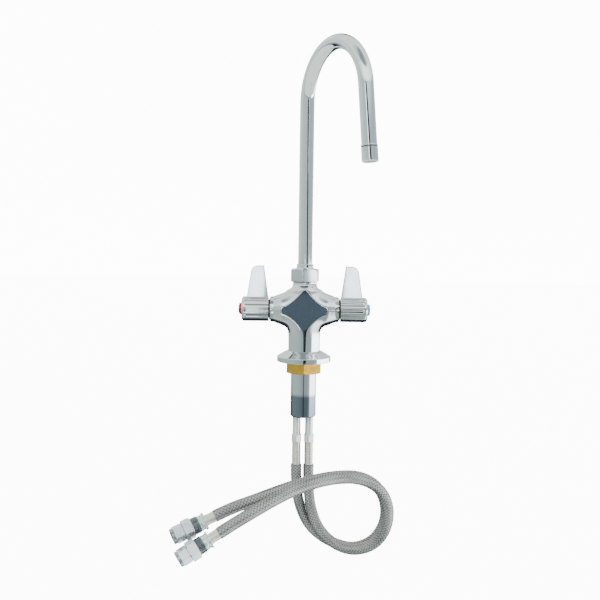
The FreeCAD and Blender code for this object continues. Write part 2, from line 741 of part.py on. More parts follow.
def make_handle(side):
    valve = valve_placement(side)
    socket = S.stem_radius + S.brazed_fit
    cavity_end = hub_start + S.hub_cavity
    hole = S.screw_radius + S.thread_fit
    pocket = S.screw_head_radius + S.swivel_fit
    recess = S.button_radius + S.running_fit
    shoulder = S.hub_end - S.hub_shoulder
    half_shoulder = S.hub_end - S.hub_shoulder * 0.5
    hub = turned(side + "_hub", [
        (S.hub_cavity_radius, hub_start), (S.hub_radius, hub_start), (S.hub_radius, shoulder),
        (S.hub_radius - S.hub_shoulder * 0.2, half_shoulder),
        (S.hub_radius - S.hub_shoulder * 0.75, S.hub_end), (recess, S.hub_end),
        (recess, S.button_seat), (pocket, S.button_seat), (pocket, screw_seat),
        (hole, screw_seat), (hole, socket_end), (socket, socket_end), (socket, cavity_end),
        (S.hub_cavity_radius, cavity_end)])
    fluted = cut(side + "_fluted_hub", hub, flutes(side))
    place(fused(side + "_handle", [fluted, make_blade(side)]), valve)
    button_top = S.hub_end + S.button_proud
    dome_start = button_top - S.button_dome
    place(turned(side + "_index_button", [
        (0, S.button_seat), (S.button_radius, S.button_seat), (S.button_radius, dome_start),
        (S.button_radius - S.button_dome * 0.6, button_top - S.button_dome * 0.35),
        (S.button_radius * 0.5, button_top), (0, button_top)]), valve)
    tip = screw_seat - S.screw_length
    head_top = screw_seat + S.screw_head
    socket_floor = screw_seat + S.screw_head * 0.4
    place(turned(side + "_handle_screw", [
        (0, tip), (S.screw_radius, tip), (S.screw_radius, screw_seat),
        (S.screw_head_radius, screw_seat), (S.screw_head_radius, head_top),
        (S.screw_socket, head_top), (S.screw_socket, socket_floor), (0, socket_floor)]), valve)


def make_inlet(side):
    inlet = inlet_placement(side)
    tube_end = S.top_nut_top - S.top_nut_socket
    place(ring(side + "_supply_tube", S.supply_radius - S.supply_wall, S.supply_radius,
               tube_end, S.supply_top), inlet)
    corner = S.top_nut_flats * HEX_CIRCUMRADIUS
    bevel = S.nut_chamfer * 0.5
    socket = S.supply_radius + S.brazed_fit
    height = S.top_nut_height
    floor = height - S.top_nut_socket
    nut = hex_piece(side + "_hose_top_nut", S.top_nut_flats, [
        (S.nipple_bore, 0), (corner - bevel, 0), (corner, bevel), (corner, height - bevel),
        (corner - bevel, height), (socket, height), (socket, floor), (S.nipple_bore, floor)],
        as_size(0), height)
    place(nut, inlet * Placement(Vector(0, 0, top_nut_base.value), Rotation()))
    place(ring(side + "_top_ferrule", S.nipple_bore, S.top_ferrule_radius,
               top_nut_base - S.top_ferrule_length, top_nut_base), inlet)


def corner_radius(before, point, after):
    """The largest arc that the two runs beside a point leave room for."""
    arriving = point - before
    leaving = after - point
    turn = arriving.getAngle(leaving)
    return RUN_SHARE * min(arriving.Length, leaving.Length) / math.tan(turn / 2)


def route_wire(points):
    """Straight runs joined by tangent arcs."""
    edges = []
    radii = []
    start = points[0]
    for before, point, after in zip(points, points[1:], points[2:]):
        share = RUN_SHARE * min((point - before).Length, (after - point).Length)
        back = (before - point).normalize()
        ahead = (after - point).normalize()
        radius = corner_radius(before, point, after)
        radii.append(radius)
        inward = (back + ahead).normalize()
        to_centre = math.hypot(radius, share)
        arc_start = point + back * share
        arc_end = point + ahead * share
        arc_middle = point + inward * (to_centre - radius)
        edges.append(Part.LineSegment(start, arc_start).toShape())
        edges.append(Part.Arc(arc_start, arc_middle, arc_end).toShape())
        start = arc_end
    edges.append(Part.LineSegment(start, points[-1]).toShape())
    return Part.Wire(edges), radii


def make_hose(side):
    points = [Vector(*point) for point in ROUTES[side]]
    path, radii = route_wire(points)
    outer = S.hose_radius.value
    inner = S.hose_bore.value
    tube = pipe_along(path, outer, inner)
    expected = math.pi * (outer ** 2 - inner ** 2) * path.Length
    print(f"{side} hose: length {path.Length:.1f}, least radius {min(radii):.1f},",
          "radii", [round(radius) for radius in radii],
          f"volume {tube.Volume:.0f} against {expected:.0f}")
    piece_from_shape(side + "_hose", tube)


def make_fitting(side):
    """The inlet fitting, with places counted from the end of the braid."""
    start = fitting_placement(side)

    def seat(piece, distance):
        place(piece, start * Placement(Vector(0, 0, as_size(distance).value), Rotation()))

    seat(ring(side + "_end_ferrule", S.nipple_bore, S.ferrule_radius, 0, S.end_ferrule_length), 0)
    seat(turned(side + "_end_collar", [
        (S.nipple_bore, 0), (S.collar_radius, 0), (S.collar_radius, S.collar_rim),
        (S.collar_neck_radius, S.collar_rim), (S.collar_neck_radius, S.collar_length),
        (S.nipple_bore, S.collar_length)]), S.end_ferrule_length)
    adapter_start = S.end_ferrule_length + S.collar_length
    corner = S.adapter_flats * HEX_CIRCUMRADIUS
    bevel = S.nut_chamfer * 0.6
    hex_end = S.adapter_hex_length
    tail_end = hex_end + S.adapter_tail_length
    hexagonal = hex_piece(side + "_adapter_hex", S.adapter_flats, [
        (S.nipple_bore, 0), (corner - bevel, 0), (corner, bevel), (corner, hex_end - bevel),
        (corner - bevel, hex_end), (S.adapter_tail_radius, hex_end),
        (S.adapter_tail_radius, tail_end), (S.nipple_bore, tail_end)], as_size(0), tail_end)
    raised(hexagonal, S.adapter_thread_length)
    band = ring(side + "_adapter_band", S.nipple_bore, S.adapter_thread_radius, 0,
                S.adapter_thread_length)
    seat(fused(side + "_inlet_adapter", [band, hexagonal]), adapter_start)
    nut_start = adapter_start + S.adapter_thread_length + S.adapter_hex_length + S.union_gap
    nut_corner = S.union_nut_flats * HEX_CIRCUMRADIUS
    length = S.union_nut_length
    ring_start = length - S.union_ring_length
    hole = S.adapter_tail_radius + S.running_fit
    depth = length - S.union_thread_depth
    nut = hex_piece(side + "_nut_hex", S.union_nut_flats, [
        (hole, 0), (nut_corner - bevel, 0), (nut_corner, bevel), (nut_corner, ring_start),
        (S.union_thread_radius, ring_start), (S.union_thread_radius, depth), (hole, depth)],
        as_size(0), ring_start)
    lip = ring(side + "_nut_lip", S.union_thread_radius, S.union_ring_radius, ring_start, length)
    seat(fused(side + "_union_nut", [nut, lip]), nut_start)
    tail_face = adapter_start + S.adapter_thread_length + tail_end
    seat(ring(side + "_union_washer", S.nipple_bore, S.adapter_tail_radius, 0,
              S.union_washer_thickness), tail_face)


def node_labels():
    names = ["mixing_body", "deck_flange", "flange_gasket", "mounting_shank", "lock_nut",
             "swivel_nut", "swivel_washer", "gooseneck_tube", "spout_foot", "spout_orings",
             "aerator_shell", "aerator_gasket", "aerator_insert"]
    for side in SIDES:
        names += [side + "_" + name for name in (
            "cartridge_body", "seat_seal", "fixed_disc", "moving_disc", "bonnet_oring",
            "stem_oring", "stem", "handle", "index_button", "handle_screw", "supply_tube",
            "hose_top_nut", "top_ferrule", "hose", "end_ferrule", "end_collar",
            "inlet_adapter", "union_nut", "union_washer")]
    return names


def check_document():
    for item in doc.Objects:
        if "Invalid" in item.State or "Error" in item.State:
            raise RuntimeError(f"{item.Label} failed: {item.State}")


def write_parts():
    os.makedirs("parts", exist_ok=True)
    pieces = {item.Label: item for item in doc.Objects}
    shapes = {name: pieces[name].Shape for name in node_labels()}
    for name, shape in shapes.items():
        if shape.isNull() or not shape.isValid():
            raise RuntimeError(f"{name} has no valid shape")
    for name, shape in shapes.items():
        shape.exportStep(f"parts/{name}.step")
    print(f"{len(shapes)} nodes written")


make_flange()
make_shank_and_nut()
make_body()
make_swivel()
make_spout()
make_aerator()
for side_name in SIDES:
    make_cartridge(side_name)
    make_handle(side_name)
    make_inlet(side_name)
    make_hose(side_name)
    make_fitting(side_name)
doc.recompute()
check_document()
write_parts()
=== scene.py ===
import json
import math

import bmesh
import bpy
import numpy as np
from mathutils import Matrix, Vector


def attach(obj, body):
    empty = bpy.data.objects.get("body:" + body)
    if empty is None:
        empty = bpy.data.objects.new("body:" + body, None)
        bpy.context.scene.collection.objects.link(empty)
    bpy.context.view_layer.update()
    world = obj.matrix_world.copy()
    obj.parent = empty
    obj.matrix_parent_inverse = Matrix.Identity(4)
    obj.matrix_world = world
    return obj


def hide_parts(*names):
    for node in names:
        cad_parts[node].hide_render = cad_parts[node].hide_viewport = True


# Gooseneck faucet with two lever handles and two braided inlet hoses.
# Sizes are in millimetres until a mesh is made, and the model is in metres.

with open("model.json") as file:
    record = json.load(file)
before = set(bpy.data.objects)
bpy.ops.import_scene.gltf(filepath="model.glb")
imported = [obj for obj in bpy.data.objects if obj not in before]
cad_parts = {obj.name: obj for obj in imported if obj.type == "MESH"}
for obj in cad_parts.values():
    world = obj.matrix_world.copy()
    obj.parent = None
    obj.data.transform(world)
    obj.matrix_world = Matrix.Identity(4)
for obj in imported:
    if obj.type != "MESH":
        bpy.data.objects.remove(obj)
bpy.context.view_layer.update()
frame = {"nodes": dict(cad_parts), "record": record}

MM = 0.001
TURN = 2 * math.pi

# Body
FLANGE_RADIUS = 30.0
FLANGE_RIM = 5.6
FLANGE_HEIGHT = 12.0
FLANGE_TOP_RADIUS = 18.2
FLANGE_BORE = 14.5
GASKET_INNER = 23.0
GASKET_OUTER = 27.0
GASKET_RECESS = 1.0
SHANK_RADIUS = 14.25
SHANK_BORE = 11.8
SHANK_BOTTOM = -62.5
SHANK_TOP = 26.0
# Height band where the painted dark reflection on the shank fades out
DARK_REFLECTION_BOTTOM = -39.5
DARK_REFLECTION_TOP = -35.5
SKIRT_RADIUS = 17.5
COLUMN_RADIUS = 17.9
COLUMN_START = 42.0
NECK_RADIUS = 13.2
NECK_TOP = 89.5
SPOUT_BORE = 9.65
SPOUT_BORE_END = 66.0
VALVE_HEIGHT = 58.0
ARM_LENGTH = 38.0
ARM_END_RADIUS = 13.9
CARTRIDGE_BORE = 9.4
CARTRIDGE_BORE_END = 30.0
FACET_DISTANCE = 17.7

# Nuts, with the turn in degrees
LOCK_NUT_FLATS = 38.0
LOCK_NUT_BOTTOM = -12.8
LOCK_NUT_HEIGHT = 12.5
LOCK_NUT_BORE = 14.3
SWIVEL_NUT_FLATS = 29.5
SWIVEL_NUT_TURN = -6.6
SWIVEL_NUT_HEIGHT = 13.8
SWIVEL_NUT_BORE = 12.05
SWIVEL_NUT_CEILING = 10.0
SWIVEL_LIP_TOP = 18.9
SWIVEL_LIP_RADIUS = 9.3
SWIVEL_LIP_BORE = 8.2

# Spout
TUBE_RADIUS = 7.95
TUBE_WALL = 1.0
TUBE_FOOT = 70.0
TUBE_INSET = 7.0
BEND_HEIGHT = 284.2
BEND_RADIUS = 57.2
BEND_ANGLE = math.radians(172.5)
OUTLET_LEG = 77.3
SPOUT_TURN = math.radians(30.1 - 90.0)
AERATOR_RADIUS = 8.5
AERATOR_LENGTH = 17.0
AERATOR_MOUTH = 6.4
AERATOR_BORE = 7.97

# Handles, with places counted out along the arm
HUB_START = 40.0
HUB_END = 70.2
HUB_RADIUS = 13.9
BARREL_END = 67.0
HUB_CAVITY_RADIUS = 10.8
HUB_CAVITY_DEPTH = 6.2
HUB_HOLE_RADIUS = 4.0
FLUTES = 12
FLUTE_DEPTH = 0.8
FLUTE_END = 66.9
FLUTE_FADE = 1.5
BUTTON_RADIUS = 6.5
BUTTON_TOP = 73.4
BUTTON_SEAT = 65.8
BLADE_ROOT = 11.6
BLADE_TOP = 48.5
BLADE_HALF_THICKNESS = 2.5

# Hoses and fittings
INLET_OFFSET = 7.0
SUPPLY_RADIUS = 4.5
SUPPLY_WALL = 0.8
SUPPLY_TOP = 38.0
SUPPLY_BOTTOM = -88.0
NIPPLE_BORE = 2.9
TOP_NUT_FLATS = 11.0
TOP_NUT_TOP = -83.5
TOP_NUT_BASE = -91.5
TOP_NUT_BORE = 4.52
TOP_NUT_SEAT = 3.5
FERRULE_RADIUS = 5.4
TOP_FERRULE_RADIUS = 4.9
FERRULE_BASE = -118.0

# Places along a lower fitting, from the end of its hose
COLLAR_START = 10.0
THREAD_START = 17.0
ADAPTER_START = 24.0
UNION_START = 33.3
COLLAR_RADIUS = 8.6
COLLAR_NECK = 7.6
THREAD_ROOT = 8.0
THREAD_CREST = 8.6
THREAD_TEETH = 7
ADAPTER_FLATS = 18.0
ADAPTER_HEX_LENGTH = 9.0
SPIGOT_RADIUS = 5.6
SPIGOT_END = 15.0
UNION_FLATS = 15.5
UNION_BORE = 5.65
UNION_THREAD_RADIUS = 6.9
UNION_SEAT = 7.0
UNION_HEX_LENGTH = 9.0
UNION_RING_RADIUS = 7.8
UNION_LENGTH = 12.0

# Hoses
HOSE_RADIUS = 6.0
HOT_ROUTE = [
    (-7.0, 0.0, -118.0), (-7.0, 0.0, -143.0), (-2.0, 0.5, -168.0), (9.5, -2.5, -190.0),
    (31.5, -10.0, -204.0), (58.0, -21.0, -208.0), (80.5, -31.0, -194.5), (92.0, -39.0, -170.0),
    (90.5, -45.0, -143.5), (79.0, -50.0, -125.0), (60.0, -55.5, -115.0), (38.0, -65.5, -112.5),
    (17.0, -79.5, -112.3), (-5.0, -97.0, -113.3), (-27.0, -115.0, -116.2), (-48.8, -131.0, -120.5),
    (-69.6, -140.7, -125.3), (-85.3, -146.7, -131.7),
]
COLD_ROUTE = [
    (7.0, 0.0, -118.0), (7.0, 0.0, -142.0), (10.0, -5.0, -166.0), (18.0, -14.0, -186.5),
    (34.5, -25.5, -200.5), (57.5, -35.5, -205.5), (81.5, -45.0, -194.0), (93.5, -52.3, -170.0),
    (92.5, -58.5, -143.0), (80.5, -63.8, -124.0), (60.5, -70.2, -113.5), (38.0, -81.3, -110.5),
    (17.0, -96.3, -110.3), (-5.0, -114.5, -112.6), (-27.0, -132.5, -118.6), (-47.0, -146.5, -126.8),
    (-65.2, -156.0, -135.4), (-80.0, -161.8, -143.8),
]
ROUTES = {"hot": HOT_ROUTE, "cold": COLD_ROUTE}
SIDES = {"hot": -1.0, "cold": 1.0}

# Camera, solved from the photograph, and the studio, in metres
CAMERA_PLACE = Vector((-5.1, -1025.0, 156.0)) * MM
CAMERA_DOWN = math.radians(4.89)
CAMERA_ROLL = math.radians(0.8)
CAMERA_LENS = 55.4
CAMERA_SENSOR = 36.0
FLOOR_HEIGHT = -0.34
FLOOR_RADIUS = 7.0
FLOOR_CURVE = 1.2
FLOOR_WALL_TOP = 6.0
FLOOR_GLOW = 12.0
PANEL_CENTRE = 0.156


# Materials

class Nodes:
    """A small helper round one node tree."""

    def __init__(self, owner):
        owner.use_nodes = True
        self.tree = owner.node_tree

    def add(self, kind, **values):
        node = self.tree.nodes.new(kind)
        for key, value in values.items():
            setattr(node, key, value)
        return node

    def link(self, start, end):
        self.tree.links.new(start, end)

    def split(self, vector):
        parts = self.add("ShaderNodeSeparateXYZ")
        self.link(vector, parts.inputs["Vector"])
        return parts.outputs

    def number(self, operation, *inputs):
        node = self.add("ShaderNodeMath", operation=operation)
        for socket, value in zip(node.inputs, inputs):
            if isinstance(value, (int, float)):
                socket.default_value = value
            else:
                self.link(value, socket)
        return node.outputs["Value"]

    def ramp(self, factor, *stops):
        ramp = self.add("ShaderNodeValToRGB")
        elements = ramp.color_ramp.elements
        while len(elements) < len(stops):
            elements.new(0.5)
        for element, (place, colour) in zip(elements, stops):
            element.position = place
            element.color = (*colour, 1.0)
        self.link(factor, ramp.inputs["Fac"])
        return ramp.outputs["Color"]

    def spread(self, factor, low, high, start=0.3, end=0.7):
        """A number from low to high as the factor goes from start to end."""
        span = self.add("ShaderNodeMapRange")
        for name, value in (("From Min", start), ("From Max", end), ("To Min", low), ("To Max", high)):
            span.inputs[name].default_value = value
        self.link(factor, span.inputs["Value"])
        return span.outputs["Result"]

    def blend(self, factor, first, second):
        mix = self.add("ShaderNodeMix", data_type="RGBA")
        self.link(factor, mix.inputs["Factor"])
        self.link(first, mix.inputs[6])
        self.link(second, mix.inputs[7])
        return mix.outputs[2]


class Shader(Nodes):
    """A material with its surface shader."""

    def __init__(self, name):
        self.material = bpy.data.materials.new(name)
        super().__init__(self.material)
        self.surface = self.tree.nodes["Principled BSDF"]
        self.object_space = self.add("ShaderNodeTexCoord").outputs["Object"]

    def fixed(self, **values):
        for name, value in values.items():
            self.surface.inputs[name.replace("_", " ")].default_value = value

    def noise(self, scale, detail=3.0, stretch=(1.0, 1.0, 1.0), space=None):
        mapping = self.add("ShaderNodeMapping")
        mapping.inputs["Scale"].default_value = stretch
        self.link(space or self.object_space, mapping.inputs["Vector"])
        noise = self.add("ShaderNodeTexNoise")
        noise.inputs["Scale"].default_value = scale
        noise.inputs["Detail"].default_value = detail
        self.link(mapping.outputs["Vector"], noise.inputs["Vector"])
        return noise.outputs["Fac"]

    def wipes(self):
        """Faint upright wiping marks."""
        return self.noise(420.0, 5.0, (1.0, 1.0, 0.12))

    def bump(self, height, strength, distance):
        bump = self.add("ShaderNodeBump")
        bump.inputs["Strength"].default_value = strength
        bump.inputs["Distance"].default_value = distance
        self.link(height, bump.inputs["Height"])
        self.link(bump.outputs["Normal"], self.surface.inputs["Normal"])

    def paint(self, name, output):
        self.link(output, self.surface.inputs[name])


def plated(name, light, dark, rough=(0.045, 0.07), waviness=0.02, metallic=1.0):
    """Polished plating with faint wiping marks and a slight orange peel."""
    shader = Shader(name)
    shader.fixed(Metallic=metallic)
    cloud = shader.noise(60.0, 4.0)
    shader.paint("Base Color", shader.ramp(cloud, (0.3, dark), (0.7, light)))
    shader.paint("Roughness", shader.spread(shader.wipes(), *rough))
    shader.bump(shader.noise(130.0, 2.0), waviness, 0.0002)
    return shader.material


def shank_plating():
    """Plating with a painted dark reflection at its lower end."""
    shader = Shader("plated_shank")
    shader.fixed(Metallic=1.0)
    place = shader.split(shader.object_space)
    patches = shader.number("MULTIPLY", shader.number("SUBTRACT", shader.noise(60.0, 4.0), 0.5), 0.003)
    height = shader.number("ADD", place["Z"], patches)
    # Base colour darkened below a wobbly height: a painted dark reflection on the lower shank.
    out_of_dark_reflection = shader.spread(height, 0.0, 1.0, DARK_REFLECTION_BOTTOM * MM, DARK_REFLECTION_TOP * MM)
    shader.paint("Base Color", shader.ramp(out_of_dark_reflection, (0.0, (0.20, 0.235, 0.28)), (1.0, (0.70, 0.75, 0.76))))
    shader.paint("Roughness", shader.spread(shader.wipes(), 0.04, 0.08))
    return shader.material


def tube_plating():
    """Bright plating with painted shade where the two inlet tubes face each other."""
    shader = Shader("plated_tube")
    shader.fixed(Metallic=0.5)
    place = shader.split(shader.object_space)
    facing = shader.split(shader.add("ShaderNodeTexCoord").outputs["Normal"])
    # Darker base colour on the sides that face the other tube: painted shade between the tubes.
    inner = shader.number("MULTIPLY", shader.number("SIGN", place["X"]), facing["X"])
    bright = shader.spread(inner, 0.0, 1.0, -0.9, -0.7)
    shader.paint("Base Color", shader.ramp(bright, (0.0, (0.05, 0.06, 0.06)), (1.0, (0.93, 0.95, 0.94))))
    shader.paint("Roughness", shader.spread(shader.wipes(), 0.12, 0.2))
    return shader.material


def machined(name, light, dark, rough, rings=900.0, depth=0.25, metallic=1.0):
    """Turned metal with fine tool rings along the object's height."""
    shader = Shader(name)
    shader.fixed(Metallic=metallic)
    tarnish = shader.noise(90.0, 5.0)
    shader.paint("Base Color", shader.ramp(tarnish, (0.32, dark), (0.68, light)))
    tool = shader.noise(rings, 2.0, (0.04, 0.04, 1.0))
    shader.paint("Roughness", shader.spread(tool, *rough))
    shader.bump(tool, depth, 0.00006)
    return shader.material


def moulded(name, light, dark, rough, grain=1800.0, coat=0.0):
    """Moulded rubber, plastic or ceramic with a fine grain."""
    shader = Shader(name)
    shader.fixed(Coat_Weight=coat)
    cloud = shader.noise(150.0, 4.0)
    shader.paint("Base Color", shader.ramp(cloud, (0.3, dark), (0.7, light)))
    fine = shader.noise(grain, 3.0)
    shader.paint("Roughness", shader.spread(fine, *rough))
    shader.bump(fine, 0.08, 0.00005)
    return shader.material


BRAID_WIRES_ROUND = 9.0
BRAID_PITCH = 0.016


def braided():
    """Two families of flat wire bundles that cross over and under round the hose."""
    shader = Shader("braided_steel")
    shader.fixed(Metallic=1.0)
    uv = shader.add("ShaderNodeUVMap").outputs["UV"]
    place = shader.split(uv)
    number = shader.number
    along = number("MULTIPLY", place["X"], BRAID_WIRES_ROUND / BRAID_PITCH * 0.5)
    around = number("MULTIPLY", place["Y"], BRAID_WIRES_ROUND)
    left = number("ADD", around, along)
    right = number("SUBTRACT", around, along)

    def strand(phase):
        """A rounded ridge across one bundle, from 0 at its edges to 1 on top."""
        wave = number("SINE", number("MULTIPLY", phase, math.pi))
        return number("POWER", number("ABSOLUTE", wave), 0.6)

    def wires(phase):
        """The few wires that lie side by side in a bundle."""
        wave = number("SINE", number("MULTIPLY", phase, math.pi * 8))
        return number("MULTIPLY", number("ABSOLUTE", wave), 0.25)

    checker = number("GREATER_THAN", number("MULTIPLY",
                     number("SINE", number("MULTIPLY", left, math.pi)),
                     number("SINE", number("MULTIPLY", right, math.pi))), 0.0)
    over_left = number("ADD", strand(left), wires(left))
    over_right = number("ADD", strand(right), wires(right))
    mix = shader.add("ShaderNodeMix", data_type="FLOAT")
    shader.link(checker, mix.inputs["Factor"])
    shader.link(over_left, mix.inputs[2])
    shader.link(over_right, mix.inputs[3])
    height = mix.outputs[0]
    grime = shader.noise(35.0, 4.0)
    streaks = shader.noise(1.6, 3.0, (18.0, 9.0, 1.0), uv)
    # Base colour darker where the bundles dip towards their edges: painted shade between the wires, mixed
    # with random grime and slow streaks.
    shade = number("MULTIPLY", number("MULTIPLY", height, shader.spread(grime, 0.8, 1.0)),
                   shader.spread(streaks, 0.78, 1.06, 0.38, 0.62))
    shader.paint("Base Color", shader.ramp(shade, (0.15, (0.035, 0.034, 0.033)),
                                           (0.5, (0.14, 0.137, 0.133)), (0.92, (0.54, 0.53, 0.515))))
    shader.paint("Roughness", shader.spread(grime, 0.32, 0.5))
    shader.bump(height, 0.6, 0.00035)
    return shader.material


MATERIALS = {
    "polished_chrome": plated("polished_chrome", (0.80, 0.83, 0.83), (0.74, 0.78, 0.78)),
    "plated_shank": shank_plating(),
    "raw_brass": machined("raw_brass", (0.78, 0.49, 0.08), (0.66, 0.39, 0.05), (0.42, 0.52)),
    # Very dark brass: painted shade on the cartridge bonnet that shows in the gap between each arm end and
    # its hub.
    "machined_brass": machined("machined_brass", (0.10, 0.075, 0.045), (0.07, 0.05, 0.03), (0.4, 0.5)),
    "black_rubber": moulded("black_rubber", (0.035, 0.035, 0.035), (0.02, 0.02, 0.02), (0.5, 0.7)),
    "white_acetal": moulded("white_acetal", (0.80, 0.80, 0.77), (0.74, 0.74, 0.71), (0.3, 0.42)),
    "ceramic": moulded("ceramic", (0.86, 0.85, 0.81), (0.82, 0.80, 0.76), (0.08, 0.16), coat=0.3),
    "stainless_steel": machined("stainless_steel", (0.60, 0.60, 0.59), (0.5, 0.5, 0.49), (0.25, 0.38)),
    "plated_tube": tube_plating(),
    "nickel_brass": plated("nickel_brass", (0.90, 0.94, 0.94), (0.80, 0.85, 0.85), (0.2, 0.3), 0.004, 0.8),
    "crimped_steel": machined("crimped_steel", (0.88, 0.84, 0.77), (0.78, 0.73, 0.66), (0.26, 0.38),
                              900.0, 0.1, 0.7),
    "braided_steel": braided(),
    "hot_index": moulded("hot_index", (0.34, 0.012, 0.02), (0.22, 0.006, 0.012), (0.12, 0.2), coat=0.6),
    "cold_index": moulded("cold_index", (0.30, 0.45, 0.58), (0.2, 0.34, 0.47), (0.12, 0.2), coat=0.6),
}
BRIGHT_NUT = plated("bright_nut", (0.95, 0.97, 0.96), (0.90, 0.92, 0.91), (0.12, 0.2), 0.02, 0.5)
DULL_LIP = machined("dull_lip", (0.50, 0.54, 0.54), (0.40, 0.44, 0.44), (0.22, 0.34))
DARK_THREAD = machined("dark_thread", (0.34, 0.38, 0.39), (0.20, 0.24, 0.25), (0.2, 0.32))


# Meshes

def valve_matrix(side):
    """Local Z runs out along the arm and local X points up."""
    lean = Matrix.Rotation(-math.pi / 2, 4, "Y")
    if SIDES[side] > 0:
        lean = Matrix.Rotation(math.pi, 4, "Z") @ lean
    return Matrix.Translation((0, 0, VALVE_HEIGHT)) @ lean


def inlet_matrix(side):
    return Matrix.Translation((SIDES[side] * INLET_OFFSET, 0, 0))


def fitting_matrix(side):
    """Local Z runs on from the last run of the hose."""
    before, last = [Vector(point) for point in ROUTES[side][-2:]]
    turn = (last - before).normalized().to_track_quat("Z", "Y").to_matrix().to_4x4()
    return Matrix.Translation(last) @ turn


def spout_matrix():
    return Matrix.Rotation(SPOUT_TURN, 4, "Z")


def outlet_matrix():
    """Local Z runs up the outlet leg from its mouth."""
    lean = math.pi - BEND_ANGLE
    reach = BEND_RADIUS * (1 - math.cos(BEND_ANGLE)) + OUTLET_LEG * math.sin(lean)
    height = BEND_HEIGHT + BEND_RADIUS * math.sin(BEND_ANGLE) - OUTLET_LEG * math.cos(lean)
    return spout_matrix() @ Matrix.Translation((reach, 0, height)) @ Matrix.Rotation(-lean, 4, "Y")


def raised(height):
    return Matrix.Translation((0, 0, height))


def placed(name, data):
    """A new object in the scene."""
    piece = bpy.data.objects.new(name, data)
    bpy.context.scene.collection.objects.link(piece)
    return piece


def add_piece(name, mesh_data, slot, body, replaced, smooth_angle=35.0, shaded=False, finish=None):
    """Puts a finished mesh into the scene as one piece of the object."""
    mesh_data.transform(Matrix.Scale(MM, 4))
    piece = placed(name, mesh_data)
    mesh_data.materials.clear()
    mesh_data.materials.append(finish or MATERIALS[slot])
    if not shaded:
        mesh_data.shade_smooth()
        mesh_data.set_sharp_from_angle(angle=math.radians(smooth_angle))
        weighted = piece.modifiers.new("weighted", "WEIGHTED_NORMAL")
        weighted.keep_sharp = True
    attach(piece, body)
    if replaced:
        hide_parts(*replaced)
    return piece


def rounded(corners, steps=4):
    """Outline points from (across, along, radius) corners, with the corners rounded."""
    points = []
    count = len(corners)
    for index, corner in enumerate(corners):
        here = Vector(corner[:2])
        radius = corner[2] if len(corner) > 2 else 0.0
        before = Vector(corners[index - 1][:2]) - here
        after = Vector(corners[(index + 1) % count][:2]) - here
        if radius <= 0:
            points.append(here)
            continue
        angle = before.angle(after)
        reach = min(radius / math.tan(angle / 2), before.length * 0.49, after.length * 0.49)
        start = here + before.normalized() * reach
        end = here + after.normalized() * reach
        for step in range(steps + 1):
            share = step / steps
            points.append(start * (1 - share) ** 2 + here * 2 * share * (1 - share) + end * share ** 2)
    return points


def turned(corners, matrix=None, segments=128, shape=None):
    """A closed outline turned about Z. shape(radius, height, angle) may move the radius."""
    mesh_work = bmesh.new()
    outline = rounded(corners)
    columns = []
    for step in range(segments):
        angle = TURN * step / segments
        column = []
        for point in outline:
            radius = shape(point.x, point.y, angle) if shape else point.x
            column.append(mesh_work.verts.new((radius * math.cos(angle), radius * math.sin(angle), point.y)))
        columns.append(column)
    count = len(outline)
    for step in range(segments):
        here = columns[step]
        there = columns[(step + 1) % segments]
        for index in range(count):
            following = (index + 1) % count
            if outline[index].x < 1e-6 and outline[following].x < 1e-6:
                continue
            mesh_work.faces.new((here[index], there[index], there[following], here[following]))
    bmesh.ops.remove_doubles(mesh_work, verts=mesh_work.verts, dist=1e-5)
    bmesh.ops.recalc_face_normals(mesh_work, faces=mesh_work.faces)
    return to_mesh(mesh_work, matrix)


def to_mesh(mesh_work, matrix=None):
    if matrix is not None:
        bmesh.ops.transform(mesh_work, matrix=matrix, verts=mesh_work.verts)
    result = bpy.data.meshes.new("shape")
    mesh_work.to_mesh(result)
    mesh_work.free()
    return result


def settled(piece):
    """The mesh of an object with its modifiers applied, and the object removed."""
    graph = bpy.context.evaluated_depsgraph_get()
    result = bpy.data.meshes.new_from_object(piece.evaluated_get(graph))
    bpy.data.objects.remove(piece)
    return result


def combined(base, tool, operation):
    first = placed("temporary", base)
    second = placed("temporary", tool)
    work = first.modifiers.new("combine", "BOOLEAN")
    work.operation = operation
    work.solver = "EXACT"
    work.object = second
    result = settled(first)
    bpy.data.objects.remove(second)
    return result


def bevelled(mesh_data, width, angle=30.0, segments=2):
    work = placed("temporary", mesh_data)
    edge = work.modifiers.new("edge", "BEVEL")
    edge.width = width
    edge.segments = segments
    edge.limit_method = "ANGLE"
    edge.angle_limit = math.radians(angle)
    edge.use_clamp_overlap = True
    return settled(work)


def prism(low, high):
    """Walls between two rims of points, and a face on each."""
    mesh_work = bmesh.new()
    low = [mesh_work.verts.new(point) for point in low]
    high = [mesh_work.verts.new(point) for point in high]
    for index in range(len(low)):
        following = (index + 1) % len(low)
        mesh_work.faces.new((low[index], low[following], high[following], high[index]))
    mesh_work.faces.new(low[::-1])
    mesh_work.faces.new(high)
    return mesh_work


def hexagonal_bar(flats, low, high, corner_radius=0.5, turn=30.0):
    """A hexagonal bar about Z, with softened corners."""
    reach = flats / math.sqrt(3)
    corners = []
    for index in range(6):
        angle = math.radians(60 * index + turn)
        corners.append((reach * math.cos(angle), reach * math.sin(angle), corner_radius))
    outline = rounded(corners)
    return to_mesh(prism(*[[(point.x, point.y, height) for point in outline] for height in (low, high)]))


def hexagonal_piece(flats, corners, low, high, edge=0.18, turn=30.0):
    """A turned piece cut by a hexagonal bar."""
    blank = turned(corners, segments=144)
    nut = combined(blank, hexagonal_bar(flats, low, high, turn=turn), "INTERSECT")
    return bevelled(nut, edge)


def moved(mesh_data, matrix):
    mesh_data.transform(matrix)
    return mesh_data


def joined(*meshes):
    mesh_work = bmesh.new()
    for mesh_data in meshes:
        mesh_work.from_mesh(mesh_data)
    return to_mesh(mesh_work)


